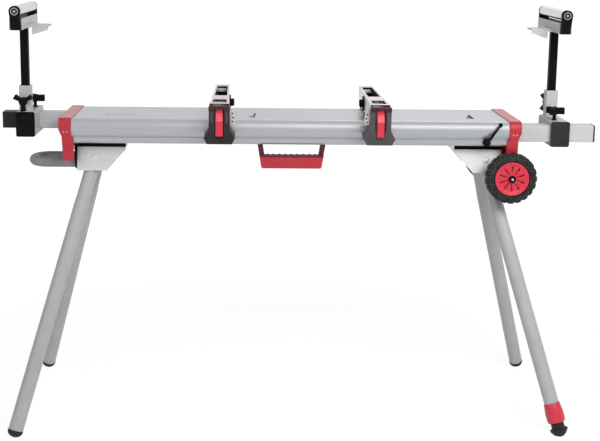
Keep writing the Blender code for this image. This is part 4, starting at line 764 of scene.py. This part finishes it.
def make_leg(ending, side_x, side_y):
    """Tube, pivot pin and foot of one leg; the front right one has the collar of the height adjuster."""
    place = leg_frame(side_x, side_y)
    floor = LEG_PIVOT[2] * math.sqrt(1 + LEG_SPLAY[0] ** 2 + LEG_SPLAY[1] ** 2)
    adjustable = ending == "front_right"
    end = floor - ADJUSTER_LENGTH if adjustable else floor - FOOT_LENGTH
    bore = LEG_RADIUS - LEG_WALL
    profile = [(LEG_THICK, end), (LEG_THICK, 0.120), (LEG_NEAR, 0.105), (LEG_NEAR, 0.001 - LEG_STUB)]
    profile += [(LEG_NEAR - 0.001, -LEG_STUB), (bore, -LEG_STUB), (bore, end)]
    tube = moved(turned(profile, 56, closed=True), place)
    body = "leg_" + ending
    show(body + "_tube", tube, POWDER, body, "grey_paint", body)

    face = LEG_RADIUS + BRACKET_GAP + BRACKET_SHEET + FIT_GAP
    nut = -LEG_RADIUS - BRACKET_GAP
    profile = [(0, face + 0.0005), (0.0060, face + 0.0005), (0.0076, face + 0.0003), (0.0080, face)]
    profile += [(0.005, face), (0.005, nut), (0.008, nut), (0.008, nut - 0.005), (0.007, nut - 0.006)]
    pin = moved(turned(profile + [(0, nut - 0.006)], 28), place @ ALONG_Y)
    name = "leg_pin_" + ending
    show(name + "_turned", pin, ZINC, "frame", "zinc_steel", name)

    if adjustable:
        make_collar(place, floor, end)
        body = "adjustable_foot"
        profile = adjustable_foot(floor)
    else:
        profile = plain_foot(end, bore)
    below_floor = box((-1, -1, -1), (1, 1, 0))
    foot = cut(moved(turned(profile, 56), place), [below_floor])
    name = "foot_" + ending
    show(name + "_rubber", foot, FOOT_RUBBER, body, "rubber", name)


def make_leg_bracket(ending):
    """The folded sheet with its black packing pad under the beam, and the black strip beside it."""
    name = "leg_bracket_" + ending
    mesh = eased(cad_copy(name), 0.0007, 2)
    two_tone(mesh, ZINC, NYLON, lambda face: face.center.z > BRACKET_WEB - FACE_MARGIN)
    show(name + "_sheet", mesh, None, "frame", "zinc_steel", name, smooth=None)
    # The black catch runs from its foot up to under the beam, filling the dark gap between the cap's skirt
    # and the bracket
    outline = [(0, 0), (0.004, 0), (0.007, 0.006), (0.007, 0.0715), (0, 0.0715)]
    catch = eased(slab([outline], -0.005, 0.005, "XZ"), 0.0012, 3)
    catch = moved(moved(catch, shift(*CATCH_PLACE)), ENDS[ending])
    show(name + "_catch", catch, NYLON, "frame", "black_plastic")


def tyre_profile():
    """The tyre without its tread blocks: a bead on the rim, walls set back, and round shoulders."""
    half = WHEEL_WIDTH / 2
    rim = HUB_RADIUS + FIT_GAP
    points = [(rim, half - 0.002), (rim + 0.002, half), (rim + 0.0045, half), (rim + 0.0052, half - 0.0006)]
    points += [(rim + 0.0056, half), (rim + 0.0066, half - 0.0004), (TREAD_RADIUS - 0.0098, half - 0.0026)]
    for i in range(1, 6):
        a = math.radians(90 * i / 5)
        points.append((TREAD_RADIUS - 0.0095 + 0.0095 * math.sin(a), half - 0.0126 + 0.010 * math.cos(a)))
    return both_ends(points)


def lug_block(side):
    """One tread block over the tyre's shoulder: X outwards, Z along the axle, on one side of the middle."""
    half = WHEEL_WIDTH / 2
    outline = [(-0.0020, 0.0008), (0.0014, 0.0010), (0.0014, half - 0.0090), (0.0002, half - 0.0045)]
    outline += [(-0.0040, half - 0.0010), (-0.0100, half - 0.0001), (-0.0100, half - 0.0040)]
    block = slab([outline + [(-0.0045, half - 0.0065)]], -0.0058, 0.0058, "XZ")
    if side < 0:
        moved(block, spin(math.pi, "X"))
    return eased(block, 0.0006, 2)


def make_wheel(ending, side):
    """Tyre with tread blocks, and a bowl-shaped hub with radial slits and raised petals between them."""
    place = STAND @ shift(WHEEL_CENTRE_X, side * WHEEL_TRACK / 2, WHEEL_CENTRE_Z) @ ALONG_Y
    body = "wheel_" + ending
    tyre = turned(tyre_profile(), 72, closed=True)
    lugs = []
    for which in (-1, 1):
        ring = repeated(RING, lug_block(which), Count=LUG_COUNT, Radius=TREAD_RADIUS, Finish=TYRE)
        lugs.append(moved(ring, spin(math.pi / LUG_COUNT * (which > 0), "Z")))
    tyre = moved(joined(tyre, *lugs), place)
    show("tyre_" + ending + "_tread", tyre, TYRE, body, "tyre", "tyre_" + ending)

    half = [(AXLE_BORE, HUB_FACE), (0.0092, HUB_FACE), (0.0106, HUB_FACE - 0.0010)]
    half += [(0.0120, HUB_DISH + 0.0008), (0.0135, HUB_DISH), (0.0290, HUB_DISH)]
    half += [(0.0335, HUB_DISH + 0.0012), (0.0375, HUB_FACE - 0.0016), (0.0405, HUB_FACE - 0.0004)]
    half += [(0.0425, HUB_FACE - 0.0006), (0.0436, HUB_FACE - 0.0022), (0.0440, HUB_FACE - 0.0050)]
    half += [(HUB_RADIUS, HUB_FACE - 0.0052)]
    hub = turned(both_ends(half), 80, closed=True)
    outline = both_sides([(-0.0009, 0.0132), (-0.0026, 0.0305), (-0.0012, 0.0328)])
    low, high = sorted((side * (HUB_DISH - 0.008), side * (HUB_FACE + OVERCUT)))
    slits = []
    for i in range(PETAL_COUNT):
        slits.append(moved(slab([outline], low, high), spin(2 * math.pi * i / PETAL_COUNT, "Z")))
    hub = eased(cut(hub, [joined(*slits)]), 0.0005, 2, 30)
    bulge = [(0, 1), (0.5, 0.86), (0.86, 0.5), (1, 0), (0.86, -0.5), (0.5, -0.86), (0, -1)]
    stretch = Matrix.Diagonal((0.0080, 0.0024, 0.0022, 1))
    petal = moved(turned(bulge, 20), shift(0, 0, side * HUB_DISH) @ stretch)
    hub = joined(hub, repeated(RING, petal, Count=PETAL_COUNT, Radius=0.0235, Finish=BRIGHT_RED))
    # The hubs' rims, where they meet the tyre, are drawn in the darker red
    two_tone(hub, BRIGHT_RED, MAROON_AND_SHADE, lambda face: math.hypot(face.center.x, face.center.y) > HUB_RIM)
    name = "wheel_hub_" + ending
    show(name + "_moulding", moved(hub, place), None, body, "red_plastic", name)


def make_axle():
    """Axle with black push-on caps outside the wheels and a bright pin end in each cap."""
    place = STAND @ shift(WHEEL_CENTRE_X, 0, WHEEL_CENTRE_Z) @ ALONG_Y
    inner = WHEEL_TRACK / 2 - WHEEL_WIDTH / 2 - FIT_GAP
    outer = WHEEL_TRACK / 2 + HUB_FACE + FIT_GAP
    skirt = SKIRT_HALF + FIT_GAP
    half = [(0, outer + 0.0056), (0.0030, outer + 0.0056), (0.0036, outer + 0.0050), (0.0036, outer + 0.0010)]
    half += [(AXLE_RADIUS, outer), (AXLE_RADIUS, inner), (0.010, inner), (0.010, skirt), (AXLE_RADIUS, skirt)]
    axle = moved(turned(both_ends(half), 32), place)
    show("wheel_axle_turned", axle, STEEL, "frame", "zinc_steel", "wheel_axle")
    ring = [(0.0040, outer + 0.0044), (0.0066, outer + 0.0058), (0.0080, outer + 0.0046)]
    ring += [(0.0093, outer + 0.0020), (0.0095, outer), (0.0040, outer)]
    near = turned(ring, 40, closed=True)
    far = moved(near.copy(), spin(math.pi, "X"))
    show("wheel_axle_push_caps", moved(joined(near, far), place), NYLON, "frame", "black_plastic")


def make_handles():
    """Bent tow tube at the left end, and the carry handle under the front edge, its upper edge and posts dark
    as painted shade.
    """
    low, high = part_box("tow_handle")
    start = high.x - STAND.translation.x
    bend = low.x - STAND.translation.x + TOW_RADIUS + TOW_SPREAD
    points = [(start, -TOW_SPREAD, TOW_Z)]
    for i in range(33):
        a = math.radians(270 - 180 * i / 32)
        points.append((bend + TOW_SPREAD * math.cos(a), TOW_SPREAD * math.sin(a), TOW_Z))
    points.append((start, TOW_SPREAD, TOW_Z))
    tow = moved(swept(points, [TOW_RADIUS] * len(points), 10), STAND)
    # The tow tube's darker grey is partly painted shade
    show("tow_handle_tube", tow, DARK_POWDER_AND_SHADE, "frame", "grey_paint", "tow_handle")

    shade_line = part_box("carry_handle")[0].z + GRIP_RED_HEIGHT
    grip = eased(cad_copy("carry_handle"), 0.0007, 2)
    work = bmesh.new()
    work.from_mesh(grip)
    parts = work.verts[:] + work.edges[:] + work.faces[:]
    bmesh.ops.bisect_plane(work, geom=parts, plane_co=(0, 0, shade_line), plane_no=(0, 0, 1))
    work.to_mesh(grip)
    work.free()
    # Above the line the handle gets the dark red as painted shade, under the beam's overhang
    two_tone(grip, RED, MAROON_AND_SHADE, lambda face: face.center.z > shade_line)
    show("carry_handle_shell", grip, None, "frame", "red_plastic", "carry_handle", smooth=None)


def knob_mesh(start):
    """A three-arm knob with flared arms, a domed middle and a collar below, its axis along Z."""
    arm = [(0.0094, -0.0046), (0.0170, -0.0053), (0.0232, -0.0066), (0.0244, -0.0062), (0.0250, -0.0050)]
    arm = both_ends(arm)
    points = []
    for i in range(3):
        a = math.radians(start + 120 * i)
        points += [(x * math.cos(a) - y * math.sin(a), x * math.sin(a) + y * math.cos(a)) for x, y in arm]
        for between in (46, 60, 74):
            b = a + math.radians(between)
            points.append((0.0105 * math.cos(b), 0.0105 * math.sin(b)))
    low = KNOB_NECK
    arms = eased(slab([points], low, low + 0.017), 0.0016, 3, 40)
    crown = [(0, low + 0.0190), (0.0040, low + 0.0189), (0.0062, low + 0.0182), (0.0075, low + 0.0164)]
    neck = [(0.0075, low + 0.010), (0.0045, low + 0.010), (0.0045, 0.0016), (0.0074, 0.0012), (0.0074, 0)]
    return joined(arms, turned(crown + neck + [(0, 0)], 36))


def knob_seat(name, ending):
    """Where a knob's collar meets what it clamps: on its joint's axis, a knob's height below its crown."""
    low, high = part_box(name + ending)
    seat = joint_place(name + ending)
    if name == "carriage_knob_":
        seat.z = high.z - KNOB_HEIGHT
    else:
        seat.y = high.y - KNOB_HEIGHT if ending == "right" else low.y + KNOB_HEIGHT
    return seat


def make_knobs(ending):
    """The carriage's clamp knob on top and the post's clamp knob on the far side of its socket."""
    for name, axis in (("carriage_knob_", Matrix.Identity(4)), ("post_knob_", ALONG_Y)):
        turn = ENDS[ending].to_3x3().to_4x4() @ axis
        knob = moved(knob_mesh(KNOB_STARTS[name + ending]), shift(*knob_seat(name, ending)) @ turn)
        show(name + ending + "_moulding", knob, NYLON, name + ending, "black_plastic", name + ending)


def make_lock_lever(ending):
    """Clamping lever: ribbed hub, tapered rod and ball."""
    front = LOCK_FRONT
    profile = [(0, front), (0.0060, front), (0.0072, front + 0.0010), (0.0084, front + 0.0030)]
    profile += [(0.0098, -0.0010), (0.0100, 0), (0, 0)]
    hub = moved(turned(profile, 40), ALONG_Y)
    rib = eased(box((-0.001, -0.0009, 0.003), (0.0008, 0.0009, 0.012)), 0.0004, 2)
    ribs = repeated(RING, rib, Count=10, Radius=0.0086, Finish=NYLON)
    ribs = moved(ribs, ALONG_Y @ spin(math.pi, "X"))
    angle = math.radians(LOCK_ANGLES[ending])
    root_y = front + 0.0053
    tip = (LOCK_REACH * math.cos(angle), root_y - 0.004, LOCK_REACH * math.sin(angle))
    points = []
    radii = []
    for i in range(9):
        t = i / 8
        points.append((tip[0] * t, root_y - 0.004 * t, tip[2] * t))
        radii.append(0.0044 - 0.0020 * t)
    rod = swept(points, radii, 6)
    profile = []
    for i in range(13):
        a = math.radians(90 - 15 * i)
        profile.append((BALL_RADIUS * math.cos(a) if 0 < i < 12 else 0, BALL_RADIUS * math.sin(a)))
    ball = moved(turned(profile, 28), shift(*tip))
    lever = moved(joined(hub, ribs, rod, ball), ENDS[ending] @ shift(*LOCK_PLACE))
    name = "arm_lock_lever_" + ending
    show(name + "_moulding", lever, NYLON, name, "black_plastic", name)


def make_roller(ending):
    """Ground steel tube with turned ends, and a dark recess round the pin at each end."""
    name = "roller_" + ending
    low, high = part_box(name)
    outer = (high.y - low.y) / 2
    radius = (high.z - low.z) / 2
    drum = outer - 0.0123
    pin_end = outer - 0.0006
    recess = outer - 0.0032
    half = [(0, pin_end), (0.0024, pin_end), (0.0028, outer - 0.0012), (0.0028, recess), (0.0072, recess)]
    half += [(0.0076, outer - 0.0004), (0.0080, outer), (0.0090, outer), (0.0096, outer - 0.0008)]
    half += [(0.0096, drum), (radius - 0.0006, drum), (radius, drum - 0.0006)]
    roller = turned(both_ends(half), 56)

    def in_recess(face):
        away = math.hypot(face.center.x, face.center.y)
        return abs(face.center.z) > recess - FACE_MARGIN and 0.0029 < away < 0.0074

    two_tone(roller, STEEL, DARK_STEEL, in_recess)
    roller = moved(roller, shift(*((low + high) / 2)) @ ALONG_Y)
    show(name + "_ground", roller, None, name, "zinc_steel", name)


def make_yoke(ending):
    """The roller's yoke, with slim rings and a stem that is cut in on its outer side."""
    name = "roller_yoke_" + ending
    low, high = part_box("roller_" + ending)
    axis = (low + high) / 2
    outwards = 1 if ending == "right" else -1
    mesh = cad_copy(name)
    for point in mesh.vertices:
        across = point.co.x - axis.x
        up = point.co.z - axis.z
        reach = math.hypot(across, up)
        if up < -0.028 and outwards * across > 0.013:
            point.co.x = axis.x + outwards * 0.010
        for old, new in YOKE_RINGS:
            if abs(reach - old) < 0.0003:
                point.co.x = axis.x + across * new / reach
                point.co.z = axis.z + up * new / reach
    show(name + "_shell", eased(mesh, 0.0008, 2), NYLON, "post_" + ending, "black_plastic", name, smooth=None)


def make_stop_plate(ending):
    """The flip-up stop, its blade as short as the photograph shows."""
    name = "stop_plate_" + ending
    hinge = joint_place(name).x
    mesh = cad_copy(name)
    for point in mesh.vertices:
        across = point.co.x - hinge
        if abs(across) > BLADE_ROOT:
            reach = BLADE_ROOT + (abs(across) - BLADE_ROOT) * BLADE_SHARE
            point.co.x = hinge + math.copysign(reach, across)
    show(name + "_shell", eased(mesh, 0.0006, 2), ENAMEL, name, "pale_paint", name, smooth=None)


def make_arm(ending):
    """Arm, carriage, post and head of one end, with their knobs and the arm's lock lever."""
    # The right end's carriage plugs take the lighter charcoal as painted light; the left end's stay black
    plug = CHARCOAL if ending == "right" else NYLON
    arm = "arm_" + ending
    carriage = "carriage_" + ending
    post = "post_" + ending
    soft_copy(arm, ENAMEL, arm, "aluminium", 0.0006)
    soft_copy("arm_end_cap_" + ending, CHARCOAL, arm, "black_plastic", 0.0010, 3)
    soft_copy(carriage, ENAMEL, carriage, "pale_paint", 0.0008)
    soft_copy("carriage_arm_cap_" + ending, plug, carriage, "black_plastic", 0.0007)
    soft_copy("carriage_post_cap_" + ending, plug, carriage, "black_plastic", 0.0012, 3)
    soft_copy(post, BLACK_PAINT, post, "black_paint", 0.0006)
    soft_copy("head_channel_" + ending, ENAMEL, post, "pale_paint", 0.0006)
    make_yoke(ending)
    make_stop_plate(ending)
    make_roller(ending)
    make_knobs(ending)
    make_lock_lever(ending)


def make_clamp(ending, centre, rail_low, rail_top, plan):
    """Clamp body with room for the rail, a dark lip over its front, strips and ridges beside the lever."""
    name = "bracket_clamp_" + ending
    body = "saw_bracket_" + ending
    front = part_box(name)[0].y
    here = shift(centre, 0, 0)
    above = rail_top + 0.02
    room = moved(slab([plan], rail_low - FIT_GAP, above), here)
    behind = moved(box((-0.05, front + EAR_SETBACK, rail_low + 0.004), (0.05, front + 0.085, above)), here)
    clamp = evened(cut(eased(cad_copy(name), 0.0009, 2), [room, behind]))
    # The right clamp body takes the lighter grey as painted light, for the stronger light on that side
    nylon = LIT_NYLON if ending == "right" else CHARCOAL
    show(name + "_shell", clamp, nylon, body, "black_plastic", name, smooth=None)

    low = rail_top - 0.0165
    half = [(CLAMP_HALF, rail_top - 0.0045), (CLAMP_HALF, low), (LEVER_GAP, low), (LEVER_GAP, low + 0.0055)]
    lip = eased(slab([both_sides(half)], front - 0.0010, front + 0.0190, "XZ"), 0.0008, 2)
    under = low - 0.001

    def strip_pair(near_x, far_x, length):
        strip = eased(box((near_x, front - 0.0011, under - length), (far_x, front + 0.002, under)), 0.0003, 2)
        return [strip, moved(strip.copy(), MIRROR_X)]

    lever_frame = moved(joined(lip, *strip_pair(*FRAME_STRIP)), here)
    show(name + "_lever_frame", lever_frame, DARK_MAROON, body, "black_plastic")
    ridges = [strip for ridge in RIDGES for strip in strip_pair(*ridge)]
    show(name + "_frame_ridges", moved(joined(*ridges), here), RIDGE_GREY, body, "black_plastic")


def make_clamp_lever(ending, centre):
    """The red lever: a hollow thumb slope, paler as painted sheen, above a straight grip."""
    name = "clamp_lever_" + ending
    outline = [(0.0045, 0.0065), (-0.0010, 0.0065), (-0.0018, -0.0040), (-0.0038, -0.0140)]
    outline += [(-0.0090, -0.0235), (-0.0072, -0.0250), (-0.0062, -0.0575), (-0.0050, -0.0600)]
    outline += [(0.0045, -0.0600)]
    lever = eased(slab([outline], -0.0090, 0.0090, "YZ"), 0.0009, 3)
    # Faces turned to the front and up get the paler red as painted sheen
    two_tone(lever, BRIGHT_RED, SHEEN_RED, lambda face: face.normal.y < -0.5 and face.normal.z > 0.12)
    pivot = joint_place(name)
    show(name + "_shell", moved(lever, shift(centre, pivot.y, pivot.z)), None, name, "red_plastic", name)


def make_ear(ending, centre):
    """The screwed plate beside a clamp, on the side towards the stand's middle."""
    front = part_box("bracket_clamp_" + ending)[0].y + EAR_SETBACK
    outline = [(CLAMP_HALF, 0.774), (0.0360, 0.774), (0.0382, 0.782), (0.0370, 0.798), (0.0320, 0.812)]
    plate = eased(slab([outline + [(CLAMP_HALF, 0.816)]], front, front + 0.003, "XZ"), 0.0006, 2)
    heads = []
    for across, up in ((0.0320, 0.7800), (0.0335, 0.7900), (0.0315, 0.8000)):
        head = moved(screw_head(0.0022, 0.0012), spin(math.pi / 2, "X"))
        heads.append(moved(head, shift(across, front, up)))
    flip = shift(centre, 0, 0)
    if ending == "right":
        flip = flip @ MIRROR_X
    name = "saw_bracket_" + ending
    show(name + "_ear", moved(plate, flip), BRIGHT_RAIL, name, "aluminium")
    show(name + "_ear_screws", moved(joined(*heads), flip), DARK_STEEL, name, "zinc_steel")


def make_saw_bracket(ending):
    """Rail with its inside dark as painted shade, clamp, lever and side knob; a cross bar, plug and bolt
    block in it.
    """
    body = "saw_bracket_" + ending
    name = "saw_rail_" + ending
    low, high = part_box(name)
    centre = (low.x + high.x) / 2
    half = (high.x - low.x) / 2
    under = high.z - RAIL_WALL + 0.0004

    def half_at(y):
        share = (y - low.y) / (high.y - low.y)
        return RAIL_FRONT_HALF + (RAIL_REAR_HALF - RAIL_FRONT_HALF) * share

    def inside_at(y):
        return (half - RAIL_WALL) * half_at(y) / half

    def is_shaded_inside(face):
        x, y, z = face.center
        return z < under and abs(x - centre) < inside_at(y) + 0.0004

    rail = cad_copy(name)
    for point in rail.vertices:
        point.co.x = centre + (point.co.x - centre) * half_at(point.co.y) / half
    rail = eased(rail, 0.0006, 2)
    # The rail's inner faces take the near-black tone as painted shade
    two_tone(rail, BRIGHT_RAIL, RAIL_INSIDE_SHADE, is_shaded_inside)
    show(name + "_extrusion", rail, None, body, "aluminium", name, smooth=None)
    near = half_at(low.y) + FIT_GAP
    far = half_at(high.y) + FIT_GAP
    front = low.y - FIT_GAP
    rear = high.y + OVERCUT
    make_clamp(ending, centre, low.z, high.z, [(-near, front), (near, front), (far, rear), (-far, rear)])
    make_clamp_lever(ending, centre)
    soft_copy("bracket_knob_" + ending, NYLON, "bracket_knob_" + ending, "black_plastic", 0.0006)

    across = inside_at(high.y) - FIT_GAP
    bar = turned(both_ends([(0, across), (0.0046, across), (0.0052, across - 0.001)]), 32)
    bar = moved(bar, shift(centre, high.y - 0.020, high.z - 0.0126) @ ALONG_X)
    show(name + "_cross_bar", bar, ENAMEL, body, "pale_paint")
    ceiling = under - 0.0008
    plug = box((centre - across, high.y - 0.0105, low.z + 0.001), (centre + across, high.y - 0.0015, ceiling))
    show(name + "_end_plug", eased(plug, 0.0008, 2), NYLON, body, "black_plastic")
    across = inside_at(BLOCK_REAR) - FIT_GAP
    block = box((centre - across, BLOCK_FRONT, low.z + 0.002), (centre + across, BLOCK_REAR, ceiling))
    show(name + "_bolt_block", eased(block, 0.0008, 2), ENAMEL, body, "pale_paint")
    make_ear(ending, centre)


def seen_rays(tree):
    """One for the rays that show a background: the camera's own, and those by way of gloss or glass."""
    path = add(tree, "ShaderNodeLightPath").outputs
    rays = {0: path["Is Camera Ray"], 1: path["Is Glossy Ray"]}
    plain = add(tree, "ShaderNodeMath", rays, operation="MAXIMUM").outputs[0]
    rays = {0: plain, 1: path["Is Transmission Ray"]}
    return add(tree, "ShaderNodeMath", rays, operation="MAXIMUM").outputs[0]


def make_floor():
    """A white floor, which keeps a pale shadow near the stand and turns plain white further out."""
    work = bmesh.new()
    bmesh.ops.create_grid(work, x_segments=4, y_segments=4, size=30)
    mesh = bpy.data.meshes.new("studio_floor")
    work.to_mesh(mesh)
    work.free()
    floor = bpy.data.objects.new("studio_floor", mesh)
    floor.location.z = -0.0005
    SCENE.collection.objects.link(floor)
    paper = bpy.data.materials.new("white_paper_sweep")
    paper.use_nodes = True
    tree = paper.node_tree
    matt = tree.nodes["Principled BSDF"]
    matt.inputs["Base Color"].default_value = linear("#f2f2f2")
    matt.inputs["Roughness"].default_value = 0.9
    place = add(tree, "ShaderNodeTexCoord").outputs["Object"]
    away = add(tree, "ShaderNodeVectorMath", {0: place}, operation="LENGTH").outputs["Value"]
    spread = {"Value": away, "From Min": 0.8, "From Max": 2.2, "To Min": 0.85, "To Max": 1.0}
    glow = add(tree, "ShaderNodeMapRange", spread).outputs["Result"]
    share = add(tree, "ShaderNodeMath", {0: seen_rays(tree), 1: glow}, operation="MULTIPLY").outputs[0]
    # A little over 1, so that near the stand it comes to white together with the lit paper
    white = add(tree, "ShaderNodeEmission", {"Color": (1, 1, 1, 1), "Strength": 1.07}).outputs[0]
    mixed = add(tree, "ShaderNodeMixShader", {0: share, 1: matt.outputs[0], 2: white}).outputs[0]
    tree.links.new(mixed, tree.nodes["Material Output"].inputs["Surface"])
    mesh.materials.append(paper)


def make_surround():
    """A surround that is white to the eye and lights the stand softly."""
    world = bpy.data.worlds.new("studio")
    SCENE.world = world
    world.use_nodes = True
    tree = world.node_tree
    strength = add(tree, "ShaderNodeMapRange", {"Value": seen_rays(tree), "To Min": 0.28, "To Max": 1.0})
    tree.links.new(strength.outputs["Result"], tree.nodes["Background"].inputs["Strength"])
    tree.nodes["Background"].inputs["Color"].default_value = (1, 1, 1, 1)


def make_lamps():
    """Soft lamps. The key lamp only lights; the sheen lamp beside it shows in glossy surfaces."""
    for name, (place, target, size, watts) in LAMPS.items():
        light = bpy.data.lights.new(name, "AREA")
        light.shape = "RECTANGLE"
        light.size, light.size_y = size
        light.energy = watts
        lamp = bpy.data.objects.new(name, light)
        lamp.location = place
        lamp.rotation_euler = (Vector(target) - lamp.location).to_track_quat("-Z", "Y").to_euler()
        lamp.visible_glossy = name != "key_lamp"
        SCENE.collection.objects.link(lamp)


def make_camera():
    """The photograph's view: from the front, a little left of the middle and above, with a slight roll."""
    data = bpy.data.cameras.new("photo_camera")
    data.sensor_width = 36
    data.lens = 72
    data.shift_y = -0.0998
    data.clip_end = 100
    yaw, pitch, roll = 0.0433, 0.1811, 0.0148
    level = Vector((math.sin(yaw), math.cos(yaw), 0))
    across = Vector((math.cos(yaw), -math.sin(yaw), 0))
    upright = Vector((0, 0, 1))
    ahead = math.cos(pitch) * level - math.sin(pitch) * upright
    above = math.sin(pitch) * level + math.cos(pitch) * upright
    right = math.cos(roll) * across + math.sin(roll) * above
    top = math.cos(roll) * above - math.sin(roll) * across
    turn = Matrix((right, top, -ahead)).transposed().to_4x4()
    camera = bpy.data.objects.new("photo_camera", data)
    SCENE.collection.objects.link(camera)
    camera.matrix_world = STAND @ shift(-0.1067, -3.0715, 1.2147) @ turn
    SCENE.camera = camera


make_camera()
make_floor()
make_surround()
make_lamps()
make_beam()
for end in ("left", "right"):
    make_end_cap(end)
    make_leg_bracket(end)
    make_arm(end)
    make_saw_bracket(end)
for x_name, x_side in (("left", -1), ("right", 1)):
    for y_name, y_side in (("front", -1), ("rear", 1)):
        make_leg(y_name + "_" + x_name, x_side, y_side)
make_wheel("front", -1)
make_wheel("rear", 1)
make_axle()
make_handles()

SCENE.view_settings.view_transform = "Standard"
